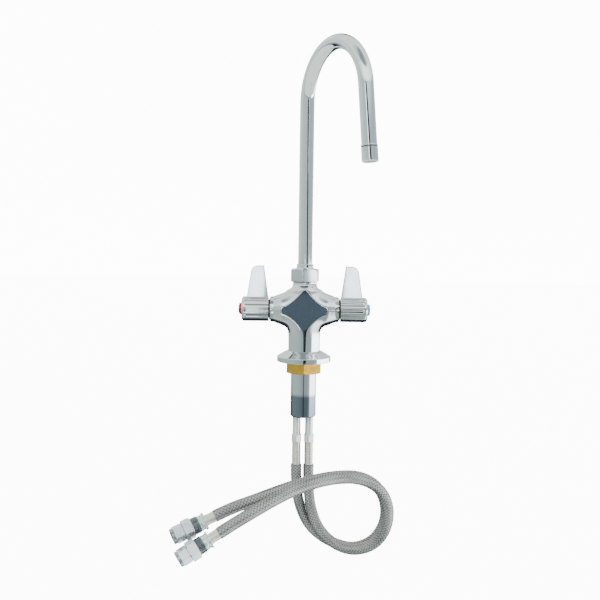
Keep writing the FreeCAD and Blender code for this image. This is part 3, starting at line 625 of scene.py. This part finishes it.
def swept(path, radius, segments=64):
    """Rings carried along a path without twisting."""
    mesh_work = bmesh.new()
    tangents = []
    for index, point in enumerate(path):
        before = path[max(index - 1, 0)]
        after = path[min(index + 1, len(path) - 1)]
        tangents.append((after - before).normalized())
    side = tangents[0].orthogonal().normalized()
    uv_layer = mesh_work.loops.layers.uv.new("UVMap")
    rings = []
    lengths = [0.0]
    for index, point in enumerate(path):
        tangent = tangents[index]
        side = (side - tangent * side.dot(tangent)).normalized()
        other = tangent.cross(side)
        ring = []
        for step in range(segments):
            angle = TURN * step / segments
            outward = side * math.cos(angle) + other * math.sin(angle)
            ring.append(mesh_work.verts.new(point + outward * radius))
        rings.append(ring)
        if index:
            lengths.append(lengths[-1] + (point - path[index - 1]).length)
    for index in range(len(rings) - 1):
        for step in range(segments):
            following = (step + 1) % segments
            face = mesh_work.faces.new((rings[index][step], rings[index][following],
                                        rings[index + 1][following], rings[index + 1][step]))
            marks = ((lengths[index], step), (lengths[index], step + 1),
                     (lengths[index + 1], step + 1), (lengths[index + 1], step))
            for loop, (distance, place) in zip(face.loops, marks):
                loop[uv_layer].uv = (distance * MM, place / segments)
    return mesh_work, rings


# The camera, then the hoses

def make_camera():
    data = bpy.data.cameras.new("camera")
    data.lens = CAMERA_LENS
    data.sensor_width = CAMERA_SENSOR
    camera = placed("camera", data)
    forward = Vector((0, math.cos(CAMERA_DOWN), -math.sin(CAMERA_DOWN)))
    up = Vector((0, math.sin(CAMERA_DOWN), math.cos(CAMERA_DOWN)))
    right = Vector((1, 0, 0))
    rolled_right = right * math.cos(CAMERA_ROLL) + up * math.sin(CAMERA_ROLL)
    rolled_up = up * math.cos(CAMERA_ROLL) - right * math.sin(CAMERA_ROLL)
    turn = Matrix((rolled_right, rolled_up, -forward)).transposed().to_4x4()
    camera.matrix_world = Matrix.Translation(CAMERA_PLACE) @ turn
    bpy.context.scene.camera = camera


def route_line(side):
    """The smooth line through a hose's route, as points in millimetres."""
    data = bpy.data.curves.new(side + "_line", "CURVE")
    data.dimensions = "3D"
    spline = data.splines.new("NURBS")
    spline.points.add(len(ROUTES[side]) - 1)
    for point, place in zip(spline.points, ROUTES[side]):
        point.co = (*place, 1.0)
    spline.order_u = 3
    spline.use_endpoint_u = True
    spline.resolution_u = 24
    line = settled(placed(side + "_line", data))
    points = []
    for vertex in line.vertices:
        if not points or (vertex.co - points[-1]).length > 0.05:
            points.append(vertex.co.copy())
    return points


def make_hose(side):
    line = route_line(side)
    mesh_work, rings = swept(line, HOSE_RADIUS, 48)
    for ring in (rings[0][::-1], rings[-1]):
        mesh_work.faces.new(ring)
    hose = add_piece(side + "_braided_hose", to_mesh(mesh_work), "braided_steel", "tap_body",
                     [side + "_hose"])
    return hose, line, [frame["nodes"][side + "_union_washer"]]


# Body pieces

def make_flange():
    corners = [(FLANGE_BORE, 0, 0.2), (GASKET_INNER, 0, 0.2), (GASKET_INNER, GASKET_RECESS),
               (GASKET_OUTER, GASKET_RECESS), (GASKET_OUTER, 0, 0.2), (FLANGE_RADIUS, 0, 0.5),
               (FLANGE_RADIUS, FLANGE_RIM, 0.9), (FLANGE_TOP_RADIUS + 3.2, 10.6, 3.0),
               (FLANGE_TOP_RADIUS, FLANGE_HEIGHT, 0.4), (FLANGE_BORE, FLANGE_HEIGHT)]
    add_piece("flange", turned(corners, segments=192), "polished_chrome", "tap_body", ["deck_flange"])


def make_shank():
    """The plated shank. The photograph shows no thread on it, so it is left smooth."""
    corners = [(SHANK_BORE, SHANK_TOP), (SHANK_BORE, SHANK_BOTTOM, 0.3),
               (SHANK_RADIUS - 1.0, SHANK_BOTTOM, 0.3), (SHANK_RADIUS, SHANK_BOTTOM + 1.2, 0.4),
               (SHANK_RADIUS, SHANK_TOP)]
    add_piece("threaded_shank", turned(corners, segments=192), "plated_shank", "tap_body", ["mounting_shank"])


def make_lock_nut():
    corner = LOCK_NUT_FLATS / math.sqrt(3)
    high = LOCK_NUT_HEIGHT
    corners = [(LOCK_NUT_BORE, 0, 0.3), (corner - 2.6, 0, 0.2), (corner, 1.5), (corner, high - 1.5),
               (corner - 2.6, high, 0.2), (LOCK_NUT_BORE, high, 0.3)]
    nut = hexagonal_piece(LOCK_NUT_FLATS, corners, -1, high + 1, 0.25)
    add_piece("brass_lock_nut", moved(nut, raised(LOCK_NUT_BOTTOM)), "raw_brass", "lock_nut", ["lock_nut"])


def make_swivel_nut():
    corner = SWIVEL_NUT_FLATS / math.sqrt(3)
    high = SWIVEL_NUT_HEIGHT
    corners = [(SWIVEL_NUT_BORE, 0, 0.2), (corner - 0.3, 0, 0.2), (corner, 0.3), (corner, high - 1.6),
               (corner - 2.8, high, 0.4), (SWIVEL_LIP_RADIUS + 1.4, high, 0.8),
               (SWIVEL_LIP_RADIUS, high + 1.5, 0.4), (SWIVEL_LIP_RADIUS, SWIVEL_LIP_TOP, 0.7),
               (SWIVEL_LIP_BORE, SWIVEL_LIP_TOP, 0.2), (SWIVEL_LIP_BORE, SWIVEL_NUT_CEILING),
               (SWIVEL_NUT_BORE, SWIVEL_NUT_CEILING)]
    nut = hexagonal_piece(SWIVEL_NUT_FLATS, corners, -1, SWIVEL_LIP_TOP + 1)
    turn = Matrix.Rotation(math.radians(SWIVEL_NUT_TURN), 4, "Z")
    add_piece("spout_nut", moved(nut, raised(NECK_TOP) @ turn), "polished_chrome", "tap_body", ["swivel_nut"])
    # A black ring just under the spout nut: a painted shadow line beneath the nut.
    shadow = [(SWIVEL_NUT_BORE, -0.9), (14.2, -0.9, 0.2), (14.2, 0.02), (SWIVEL_NUT_BORE, 0.02)]
    add_piece("nut_shadow_ring", turned(shadow, raised(NECK_TOP), 144), "black_rubber", "tap_body", [])


BLEND = 10.0
BODY_CELL = 0.7
FACET_EDGE = 0.45


def column_radius(height):
    """Radius of the upright part of the body at each height."""
    places = [FLANGE_HEIGHT, 28.0, 36.0, COLUMN_START, 58.0, 66.0, 70.0, 74.0,
              77.0, 80.0, 82.0, 83.2, 84.4, 85.6, NECK_TOP + 20]
    radii = [SKIRT_RADIUS + 0.1, SKIRT_RADIUS + 0.2, COLUMN_RADIUS, COLUMN_RADIUS + 0.1,
             18.2, 18.5, 18.3, 18.1, 17.95, 17.8, 17.73, 16.4, 14.2, NECK_RADIUS, NECK_RADIUS]
    return np.interp(height, places, radii)


def column_squash(height):
    """How much narrower the upright part is from side to side than from front to back."""
    places = [77.0, 79.3, 80.0, 80.7, 81.4, 82.5, 83.5, 84.4, 85.6]
    shares = [1.0, 0.99, 1.015, 1.10, 1.21, 1.25, 1.15, 1.05, 1.0]
    return np.interp(height, places, shares)


def arm_radius(distance):
    """Radius of the arms at each distance from the middle."""
    places = [0.0, 12.0, 18.6, 25.0, 31.0, ARM_LENGTH - 3.5, ARM_LENGTH + 20]
    radii = [23.0, 21.6, 20.0, 17.9, 15.7, ARM_END_RADIUS + 0.2, ARM_END_RADIUS]
    return np.interp(np.abs(distance), places, radii)


def arm_squash(distance):
    """How much flatter the arms are from front to back than they are high."""
    places = [0.0, 4.0, 8.5, 12.0, 15.5, 18.8, 21.4, 24.5, 26.5, 29.0]
    shares = [1.0, 1.0, 1.032, 1.066, 1.072, 1.062, 1.036, 0.988, 0.975, 1.0]
    return np.interp(np.abs(distance), places, shares)


def softened(profile, place, reach=1.6):
    """A profile averaged over a short reach, so that it has no kinks."""
    total = 0
    weights = ((-1.0, 1), (-0.5, 4), (0.0, 6), (0.5, 4), (1.0, 1))
    for shift, weight in weights:
        total = total + weight * profile(place + shift * reach)
    return total / 16


def body_field(points):
    """Below zero inside the column and arms, which flow into each other and are cut flat
    front and back."""
    x, y, z = points.T
    column = np.hypot(x * softened(column_squash, z), y) - softened(column_radius, z)
    arms = np.hypot(y * softened(arm_squash, x), z - VALVE_HEIGHT) - softened(arm_radius, x)
    shared = np.maximum(BLEND - np.abs(column - arms), 0.0) / BLEND
    skin = np.minimum(column, arms) - shared ** 3 * BLEND / 6
    flats = np.abs(y) - FACET_DISTANCE
    edge = np.maximum(FACET_EDGE - np.abs(skin - flats), 0.0) / FACET_EDGE
    return np.maximum(skin, flats) + edge ** 3 * FACET_EDGE / 6


def field_slope(points, step=0.02):
    slopes = []
    for axis in range(3):
        shift = np.zeros(3)
        shift[axis] = step
        slopes.append((body_field(points + shift) - body_field(points - shift)) / (2 * step))
    return np.stack(slopes, axis=1)


def body_skin():
    """The skin of the field: one point in each cell it passes through, moved onto it."""
    low = np.array([-ARM_LENGTH - 4, -26.0, FLANGE_HEIGHT - 4])
    high = np.array([ARM_LENGTH + 4, 26.0, NECK_TOP + 4])
    shape = np.ceil((high - low) / BODY_CELL).astype(int) + 1
    axes = [low[axis] + BODY_CELL * np.arange(shape[axis]) for axis in range(3)]
    grid = np.stack(np.meshgrid(*axes, indexing="ij"), axis=-1)
    inside = (body_field(grid.reshape(-1, 3)) < 0).reshape(shape)
    count = np.zeros(shape - 1, dtype=int)
    for dx, dy, dz in np.ndindex(2, 2, 2):
        count += inside[dx:shape[0] - 1 + dx, dy:shape[1] - 1 + dy, dz:shape[2] - 1 + dz]
    crossed = (count > 0) & (count < 8)
    names = np.full(crossed.shape, -1)
    names[crossed] = np.arange(crossed.sum())
    points = low + BODY_CELL * (np.argwhere(crossed) + 0.5)
    for _ in range(6):
        slope = field_slope(points)
        points = points - (body_field(points) / (slope ** 2).sum(axis=1))[:, None] * slope
    faces = []
    for axis in range(3):
        first, second = [other for other in range(3) if other != axis]
        near = [slice(None)] * 3
        far = [slice(None)] * 3
        near[axis] = slice(0, -1)
        far[axis] = slice(1, None)
        changes = np.argwhere(inside[tuple(near)] != inside[tuple(far)])
        for change in changes:
            corners = []
            for shift in ((-1, -1), (0, -1), (0, 0), (-1, 0)):
                cell = change.copy()
                cell[first] += shift[0]
                cell[second] += shift[1]
                corners.append(cell)
            corners = np.array(corners)
            if (corners < 0).any() or (corners >= crossed.shape).any():
                continue
            faces.append([int(names[tuple(corner)]) for corner in corners])
    result = bpy.data.meshes.new("skin")
    result.from_pydata([tuple(point) for point in points], [], faces)
    return result


def cut_flat(mesh_work, place, normal):
    geometry = mesh_work.verts[:] + mesh_work.edges[:] + mesh_work.faces[:]
    cut = bmesh.ops.bisect_plane(mesh_work, geom=geometry, plane_co=place, plane_no=normal,
                                 clear_outer=True, dist=1e-5)
    rim = [item for item in cut["geom_cut"] if isinstance(item, bmesh.types.BMEdge)]
    bmesh.ops.edgenet_fill(mesh_work, edges=rim)


def shade_by_field(mesh_data):
    """Exact normals on the skin, and flat normals on the ends and in the bores."""
    normals = []
    points = np.array([vertex.co for vertex in mesh_data.vertices])
    slope = field_slope(points)
    slope /= np.maximum(np.linalg.norm(slope, axis=1), 1e-6)[:, None]
    centres = np.array([polygon.center for polygon in mesh_data.polygons])
    on_skin = np.abs(body_field(centres)) < 0.06
    for polygon, skin in zip(mesh_data.polygons, on_skin):
        for vertex in polygon.vertices:
            normals.append(tuple(slope[vertex]) if skin else tuple(polygon.normal))
    mesh_data.shade_smooth()
    mesh_data.normals_split_custom_set(normals)


def plug(radius, low, high):
    return turned([(0, low), (radius, low), (radius, high), (0, high)])


def make_body():
    """Column and arms in one flowing skin, cut off at the ends and bored."""
    mesh_work = bmesh.new()
    mesh_work.from_mesh(body_skin())
    bmesh.ops.recalc_face_normals(mesh_work, faces=mesh_work.faces)
    for sign in (1, -1):
        cut_flat(mesh_work, (sign * ARM_LENGTH, 0, 0), (sign, 0, 0))
    cut_flat(mesh_work, (0, 0, FLANGE_HEIGHT), (0, 0, -1))
    cut_flat(mesh_work, (0, 0, NECK_TOP), (0, 0, 1))
    bmesh.ops.recalc_face_normals(mesh_work, faces=mesh_work.faces)
    body = to_mesh(mesh_work)
    body = combined(body, plug(SPOUT_BORE, SPOUT_BORE_END, 110.0), "DIFFERENCE")
    for side in SIDES:
        socket = plug(CARTRIDGE_BORE, CARTRIDGE_BORE_END, 45.0)
        body = combined(body, moved(socket, valve_matrix(side)), "DIFFERENCE")
    shade_by_field(body)
    add_piece("body", body, "polished_chrome", "tap_body", ["mixing_body"], shaded=True)


# Spout

def spout_path():
    """The tube's middle line in its own plane: the riser, the bend and the outlet leg."""
    points = [Vector((0, 0, TUBE_FOOT + (BEND_HEIGHT - TUBE_FOOT) * index / 12)) for index in range(13)]
    for index in range(1, 97):
        angle = BEND_ANGLE * index / 96
        points.append(Vector((BEND_RADIUS * (1 - math.cos(angle)), 0,
                              BEND_HEIGHT + BEND_RADIUS * math.sin(angle))))
    direction = Vector((math.sin(BEND_ANGLE), 0, math.cos(BEND_ANGLE)))
    straight = OUTLET_LEG - TUBE_INSET
    landing = points[-1]
    points += [landing + direction * straight * index / 4 for index in range(1, 5)]
    return points


def make_spout():
    both = bmesh.new()
    for radius in (TUBE_RADIUS, TUBE_RADIUS - TUBE_WALL):
        both.from_mesh(to_mesh(swept(spout_path(), radius, 96)[0]))
    rims = [edge for edge in both.edges if edge.is_boundary]
    bmesh.ops.bridge_loops(both, edges=[edge for edge in rims if edge.verts[0].co.z < 100.0])
    rims = [edge for edge in both.edges if edge.is_boundary]
    bmesh.ops.bridge_loops(both, edges=rims)
    bmesh.ops.recalc_face_normals(both, faces=both.faces)
    add_piece("spout_tube", to_mesh(both, spout_matrix()), "polished_chrome", "spout", ["gooseneck_tube"])


def make_aerator():
    corners = [(AERATOR_MOUTH, 0, 0.3), (AERATOR_RADIUS, 0, 1.0), (AERATOR_RADIUS, 14.2, 0.15),
               (AERATOR_RADIUS - 0.5, 14.3, 0.1), (AERATOR_RADIUS - 0.5, 15.3, 0.1),
               (AERATOR_RADIUS, 15.4, 0.15), (AERATOR_RADIUS, AERATOR_LENGTH, 0.4),
               (AERATOR_BORE, AERATOR_LENGTH), (AERATOR_BORE, 1.2), (AERATOR_MOUTH, 1.2, 0.2)]
    add_piece("aerator_ring", turned(corners, outlet_matrix(), 144), "polished_chrome", "spout",
              ["aerator_shell"])
    # A black ring set into the shell's groove, so that the groove shows as a dark line.
    groove_ring = [(AERATOR_BORE, 14.4), (AERATOR_RADIUS - 0.25, 14.4), (AERATOR_RADIUS - 0.25, 15.2),
            (AERATOR_BORE, 15.2)]
    add_piece("aerator_groove_ring", turned(groove_ring, outlet_matrix(), 144), "black_rubber", "spout", [])


# Handles

def flute_shape(radius, height, angle):
    """Shallow scallops round the hub that run out before its outer end."""
    if radius < HUB_RADIUS - 2.0:
        return radius
    fade = min(1.0, max(0.0, (FLUTE_END - height) / FLUTE_FADE))
    wave = abs(math.cos((angle * FLUTES) / 2))
    return radius - FLUTE_DEPTH * fade * wave ** 3


def blade_mesh():
    """The flat lever with a softened outline, drawn with X up and Z outwards."""
    outline = rounded([(BLADE_ROOT, 40.2), (BLADE_TOP, 45.5, 1.3), (BLADE_TOP - 0.6, 59.0, 9.5),
                       (BLADE_ROOT, 64.6)], 12)
    mesh_work = prism(*[[(point.x, offset, point.y) for point in outline]
                        for offset in (-BLADE_HALF_THICKNESS, BLADE_HALF_THICKNESS)])
    bmesh.ops.recalc_face_normals(mesh_work, faces=mesh_work.faces)
    return bevelled(to_mesh(mesh_work), 0.9, 40.0, 4)


def make_handle(side):
    body = side + "_lever"
    valve = valve_matrix(side)
    ceiling = HUB_START + HUB_CAVITY_DEPTH
    barrel = [(HUB_RADIUS, HUB_START + (BARREL_END - HUB_START) * index / 36) for index in range(37)]
    corners = [(HUB_CAVITY_RADIUS, ceiling), (HUB_CAVITY_RADIUS, HUB_START, 0.3)] + barrel + [
        (HUB_RADIUS - 0.5, 68.5, 0.8), (HUB_RADIUS - 2.2, 69.8, 1.2), (BUTTON_RADIUS + 1.2, HUB_END, 0.5),
        (BUTTON_RADIUS + 0.05, HUB_END, 0.2), (BUTTON_RADIUS + 0.05, BUTTON_SEAT),
        (HUB_HOLE_RADIUS, BUTTON_SEAT), (HUB_HOLE_RADIUS, ceiling)]
    hub = turned(corners, None, 240, flute_shape)
    handle = joined(hub, blade_mesh())
    add_piece(side + "_lever_handle", moved(handle, valve), "polished_chrome", body, [side + "_handle"], 38.0)
    button = [(0, BUTTON_SEAT), (BUTTON_RADIUS, BUTTON_SEAT), (BUTTON_RADIUS, BUTTON_TOP - 1.2, 0.8),
              (BUTTON_RADIUS - 1.0, BUTTON_TOP - 0.45, 1.0), (BUTTON_RADIUS * 0.5, BUTTON_TOP, 2.0),
              (0, BUTTON_TOP)]
    add_piece(side + "_button", turned(button, valve, 96), side + "_index", body, [side + "_index_button"])


# Inlets

def make_inlet(side):
    place = inlet_matrix(side)
    bore = SUPPLY_RADIUS - SUPPLY_WALL
    tube = [(bore, SUPPLY_TOP), (bore, SUPPLY_BOTTOM), (SUPPLY_RADIUS, SUPPLY_BOTTOM, 0.2),
            (SUPPLY_RADIUS, SUPPLY_TOP)]
    add_piece(side + "_inlet_tube", turned(tube, place, 72), "plated_tube", "tap_body",
              [side + "_supply_tube"])
    corner = TOP_NUT_FLATS / math.sqrt(3)
    high = TOP_NUT_TOP - TOP_NUT_BASE
    nut = [(TOP_NUT_BORE, high, 0.2), (TOP_NUT_BORE, TOP_NUT_SEAT), (NIPPLE_BORE, TOP_NUT_SEAT),
           (NIPPLE_BORE, 0), (corner - 0.7, 0, 0.2), (corner, 0.7), (corner, high - 0.7),
           (corner - 0.7, high, 0.2)]
    top_nut = hexagonal_piece(TOP_NUT_FLATS, nut, -1, high + 1, 0.14)
    add_piece(side + "_upper_nut", moved(top_nut, place @ raised(TOP_NUT_BASE)), "nickel_brass", "tap_body",
              [side + "_hose_top_nut"], finish=BRIGHT_NUT)
    crimp = crimp_outline(FERRULE_BASE, TOP_NUT_BASE, TOP_FERRULE_RADIUS, 3)
    return add_piece(side + "_upper_ferrule", turned(crimp, place, 72), "crimped_steel", "tap_body",
                     [side + "_top_ferrule"])


def crimp_outline(low, high, radius, bands):
    """A sleeve pressed inwards in shallow bands."""
    outline = [(NIPPLE_BORE, high), (NIPPLE_BORE, low), (radius, low, 0.4)]
    for index in range(bands):
        start = low + (high - low) * (index + 0.3) / bands
        end = low + (high - low) * (index + 0.7) / bands
        outline += [(radius, start, 0.6), (radius - 0.14, start + 0.6, 0.6),
                    (radius - 0.14, end - 0.6, 0.6), (radius, end, 0.6)]
    outline.append((radius, high, 0.4))
    return outline


def make_fitting(side):
    """The fitting at a hose's lower end. Returns the pieces that go with the hose."""
    place = fitting_matrix(side)
    ferrule = add_piece(side + "_lower_ferrule",
                        turned(crimp_outline(0.0, COLLAR_START, FERRULE_RADIUS, 1), place, 72),
                        "crimped_steel", "tap_body", [side + "_end_ferrule"])
    outline = [(NIPPLE_BORE, COLLAR_START), (COLLAR_RADIUS, COLLAR_START, 0.3), (COLLAR_RADIUS, 11.5, 0.3),
               (7.4, 11.7, 0.3), (COLLAR_NECK, 12.8, 0.3), (7.1, 13.6, 0.3), (COLLAR_NECK, 14.4, 0.3),
               (COLLAR_NECK, THREAD_START, 0.3), (NIPPLE_BORE, THREAD_START)]
    collar = add_piece(side + "_collar", turned(outline, place, 96), "nickel_brass", "tap_body",
                       [side + "_end_collar"])
    outline = [(NIPPLE_BORE, ADAPTER_START), (NIPPLE_BORE, THREAD_START)]
    for index in range(THREAD_TEETH):
        start = THREAD_START + index
        outline += [(THREAD_ROOT, start + 0.05, 0.1), (THREAD_CREST, start + 0.5, 0.12)]
    band = turned(outline + [(THREAD_ROOT, ADAPTER_START)], None, 96)
    corner = ADAPTER_FLATS / math.sqrt(3)
    bar = hexagonal_piece(ADAPTER_FLATS, [
        (NIPPLE_BORE, 0), (corner - 0.9, 0, 0.2), (corner, 0.9), (corner, ADAPTER_HEX_LENGTH - 0.9),
        (corner - 0.9, ADAPTER_HEX_LENGTH, 0.2), (SPIGOT_RADIUS, ADAPTER_HEX_LENGTH, 0.3),
        (SPIGOT_RADIUS, SPIGOT_END), (NIPPLE_BORE, SPIGOT_END)], -1, SPIGOT_END + 1, 0.2, 0.0)
    thread = add_piece(side + "_adapter_thread", moved(band, place), "nickel_brass", "tap_body", [],
                       finish=DARK_THREAD)
    adapter = add_piece(side + "_adapter", moved(bar, place @ raised(ADAPTER_START)), "nickel_brass",
                        "tap_body", [side + "_inlet_adapter"])
    corner = UNION_FLATS / math.sqrt(3)
    nut = hexagonal_piece(UNION_FLATS, [
        (UNION_BORE, 0), (corner - 0.9, 0, 0.2), (corner, 0.9), (corner, UNION_HEX_LENGTH),
        (UNION_THREAD_RADIUS, UNION_HEX_LENGTH), (UNION_THREAD_RADIUS, UNION_SEAT),
        (UNION_BORE, UNION_SEAT)], -1, UNION_HEX_LENGTH + 1, 0.2, 0.0)
    lip = turned([(UNION_THREAD_RADIUS, UNION_HEX_LENGTH), (UNION_RING_RADIUS, UNION_HEX_LENGTH, 0.2),
                  (UNION_RING_RADIUS, UNION_LENGTH, 0.5), (UNION_THREAD_RADIUS, UNION_LENGTH, 0.2)], None, 96)
    union = place @ raised(UNION_START)
    swivel_end = add_piece(side + "_swivel_end", moved(nut, union), "nickel_brass", side + "_union",
                           [side + "_union_nut"])
    swivel_lip = add_piece(side + "_swivel_lip", moved(lip, union), "nickel_brass", side + "_union", [],
                           finish=DULL_LIP)
    return [ferrule, collar, thread, adapter, swivel_end, swivel_lip]


# Studio

def panel(name, corners, colour):
    """A flat panel that only shows in reflections."""
    mesh_work = bmesh.new()
    mesh_work.faces.new([mesh_work.verts.new(corner) for corner in corners])
    card = placed(name, to_mesh(mesh_work))
    glow = Shader(name)
    glow.fixed(Base_Color=(0, 0, 0, 1), Specular_IOR_Level=0.0, Emission_Color=(*colour, 1),
               Emission_Strength=1.0)
    card.data.materials.append(glow.material)
    card.visible_camera = False
    card.visible_shadow = False
    card.visible_diffuse = False
    return glow


def under_card(name, corners, colour):
    """A level panel that is seen from above only."""
    glow = panel(name, corners, colour)
    facing = glow.add("ShaderNodeNewGeometry")
    seen = glow.add("ShaderNodeMixShader")
    glow.link(facing.outputs["Backfacing"], seen.inputs["Fac"])
    glow.link(glow.surface.outputs["BSDF"], seen.inputs[1])
    glow.link(glow.add("ShaderNodeBsdfTransparent").outputs["BSDF"], seen.inputs[2])
    glow.link(seen.outputs["Shader"], glow.tree.nodes["Material Output"].inputs["Surface"])


def direction(azimuth, elevation, reach=1.3):
    """A point seen from the object at degrees to the right of the front and above level."""
    azimuth, elevation = math.radians(azimuth), math.radians(elevation)
    level = reach * math.cos(elevation)
    return (level * math.sin(azimuth), -level * math.cos(azimuth), PANEL_CENTRE + reach * math.sin(elevation))


def make_world():
    """Room light by direction: grey-green walls, a wide white window on the right, a pale
    ceiling and a darker ground behind."""
    world = bpy.data.worlds.new("studio")
    bpy.context.scene.world = world
    nodes = Nodes(world)
    background = nodes.tree.nodes["Background"]
    view = nodes.split(nodes.add("ShaderNodeTexCoord").outputs["Generated"])
    around = nodes.number("ARCTAN2", view["X"], nodes.number("MULTIPLY", view["Y"], -1.0))
    azimuth = nodes.spread(around, 0.0, 1.0, -math.pi, math.pi)
    height = nodes.number("ARCSINE", view["Z"])

    def turn(degrees):
        return 0.5 + degrees / 360

    def all_round(stops):
        return nodes.ramp(azimuth, *[(turn(angle), colour) for angle, colour in stops])

    def rise(low, high):
        return nodes.spread(height, 0.0, 1.0, math.radians(low), math.radians(high))

    light = all_round(GROUND)
    for low, high, stops in ((-15, -8, WALL), (-2.9, -2.5, HIGH_WALL), (19, 27, LEDGE), (44, 52, CEILING)):
        light = nodes.blend(rise(low, high), light, all_round(stops))
    nodes.link(light, background.inputs["Color"])
    background.inputs["Strength"].default_value = 1.0


# Light all round, as (degrees to the right of the front, colour)
PALE = (1.3, 1.42, 1.37)
WINDOW = (7.0, 7.0, 7.4)
WALL = [(-180, (1.0, 1.05, 1.05)), (-140, (0.62, 0.72, 0.71)), (-40, (0.58, 0.69, 0.68)),
        (-12, (0.42, 0.52, 0.53)), (20, (0.42, 0.51, 0.51)), (58, (0.46, 0.54, 0.56)), (60.2, WINDOW),
        (134, WINDOW), (144, (0.9, 0.92, 0.95)), (180, (1.0, 1.05, 1.05))]
HIGH_WALL = [(-180, (1.3, 1.35, 1.35)), (-125, (1.15, 1.27, 1.24)), (-60, (0.80, 0.91, 0.89)),
             (0, (0.68, 0.78, 0.77)), (44, (0.58, 0.69, 0.71)), (100, (0.62, 0.72, 0.79)),
             (130, (1.0, 1.05, 1.12)), (180, (1.3, 1.35, 1.35))]
LEDGE = [(-180, (0.03, 0.04, 0.045)), (-172, (0.04, 0.05, 0.055)), (-163, PALE), (-60, PALE),
         (-25, (2.4, 2.5, 2.5)), (40, (2.4, 2.5, 2.5)), (160, (1.0, 1.05, 1.1)), (171, (0.04, 0.05, 0.055)),
         (180, (0.03, 0.04, 0.045))]
CEILING = [(-180, PALE), (-90, PALE), (-35, (0.38, 0.45, 0.46)), (30, (0.38, 0.45, 0.46)),
           (90, (1.6, 1.6, 1.7)), (180, PALE)]
GROUND = [(-180, (0.02, 0.025, 0.03)), (-128, (0.03, 0.035, 0.04)), (-100, (0.75, 0.86, 0.85)),
          (-50, (0.58, 0.69, 0.68)), (-15, (0.42, 0.50, 0.49)), (40, (0.44, 0.52, 0.52)),
          (64, (2.4, 2.5, 2.6)), (100, (2.4, 2.5, 2.6)), (128, (0.03, 0.035, 0.04)),
          (180, (0.02, 0.025, 0.03))]

# Panels that stand in front of the object: left, right, bottom, top, distance and colour
GLOW = (3.8, 3.85, 4.1)
SLOT = (0.02, 0.025, 0.03)
FRONT_PANELS = {
    "dark_slot": (-0.075, 0.072, -0.50, 0.028, -1.08, (0.092, 0.13, 0.168)),
    "left_glow": (-0.137, -0.082, -0.03, 0.07, -1.08, GLOW),
    "right_glow": (0.088, 0.149, -0.03, 0.07, -1.08, GLOW),
    "low_glow": (-0.55, -0.10, -0.60, -0.30, -0.95, (3.2, 3.3, 3.3)),
    "neck_slot": (-0.03, 0.06, -0.003, 0.035, -1.075, SLOT),
    "deep_slot": (0.0, 0.19, -0.17, -0.095, -1.07, SLOT),
    "shank_line": (0.02, 0.13, -0.50, -0.17, -1.07, (0.16, 0.20, 0.22)),
}


def make_floor():
    """A pale round floor that curves up into a pale wall."""
    mesh_work = bmesh.new()
    profile = [(FLOOR_RADIUS, 0.0)]
    for index in range(1, 17):
        angle = math.pi / 2 * index / 16
        profile.append((FLOOR_RADIUS + FLOOR_CURVE * math.sin(angle), FLOOR_CURVE * (1 - math.cos(angle))))
    profile.append((FLOOR_RADIUS + FLOOR_CURVE, FLOOR_WALL_TOP))
    angles = [TURN * step / 96 for step in range(96)]
    rings = [[mesh_work.verts.new((radius * math.sin(angle), radius * math.cos(angle), height + FLOOR_HEIGHT))
              for angle in angles] for radius, height in profile]
    mesh_work.faces.new(rings[0])
    for low, high in zip(rings, rings[1:]):
        for step in range(96):
            mesh_work.faces.new((low[step - 1], low[step], high[step], high[step - 1]))
    floor = placed("floor", to_mesh(mesh_work))
    floor.data.shade_smooth()
    pale = Shader("pale_floor")
    pale.fixed(Base_Color=(0.9, 0.9, 0.9, 1), Roughness=0.9, Emission_Color=(1, 1, 1, 1),
               Emission_Strength=FLOOR_GLOW)
    floor.data.materials.append(pale.material)
    floor.visible_glossy = False
    floor.visible_diffuse = False
    floor.visible_shadow = False


def make_light(name, place, size, power):
    data = bpy.data.lights.new(name, "AREA")
    data.shape = "RECTANGLE"
    data.size, data.size_y = size
    data.energy = power
    lamp = placed(name, data)
    lamp.location = place
    lamp.rotation_mode = "QUATERNION"
    lamp.rotation_quaternion = (Vector(place) - Vector((0, 0, 0.1))).to_track_quat("Z", "Y")
    lamp.visible_glossy = False


def make_studio():
    make_world()
    make_floor()
    make_light("right_softbox", (1.5, -0.4, 0.4), (1.2, 1.2), 14.0)
    make_light("top_softbox", (-0.3, -0.8, 1.4), (1.4, 1.4), 18.0)
    for name, (left, right, bottom, top, distance, colour) in FRONT_PANELS.items():
        panel(name, [(left, distance, bottom), (right, distance, bottom), (right, distance, top),
                     (left, distance, top)], colour)
    panel("nut_glow", [(0.742, -0.69, 0.02), (0.783, -0.646, 0.02), (0.783, -0.646, 0.06),
                       (0.742, -0.69, 0.06)], (5.0, 5.0, 5.2))
    panel("dark_line", [direction(27, -6), direction(44, -6), direction(5, 26), direction(-12, 26)],
          (0.01, 0.012, 0.014))
    panel("bright_line", [direction(-10, 13), direction(-2, 13), direction(-12, 24), direction(-20, 24)],
          (3.0, 3.1, 3.2))
    panel("tube_shade", [(0, -0.004, -0.062), (0, 0.006, -0.062), (0, 0.006, -0.14), (0, -0.004, -0.14)],
          (0.004, 0.004, 0.004))
    under_card("spout_card", [(-1.2, -1.0, 0.2), (0.7, -1.0, 0.2), (0.7, 0.16, 0.2),
                              (-1.2, 0.16, 0.2)], PALE)


make_camera()
hoses = {side_name: make_hose(side_name) for side_name in SIDES}

for entry in frame["record"]["subparts"]:
    node = frame["nodes"].get(entry["node"])
    if node:
        node.data.materials.clear()
        node.data.materials.append(MATERIALS[entry["material_slot"]])

make_flange()
make_shank()
make_lock_nut()
make_swivel_nut()
make_body()
make_spout()
make_aerator()
for side_name in SIDES:
    make_handle(side_name)
    ferrule = make_inlet(side_name)
    hose, line, ends = hoses[side_name]
    [point * MM for point in line]
    make_fitting(side_name) + [ferrule] + ends
make_studio()
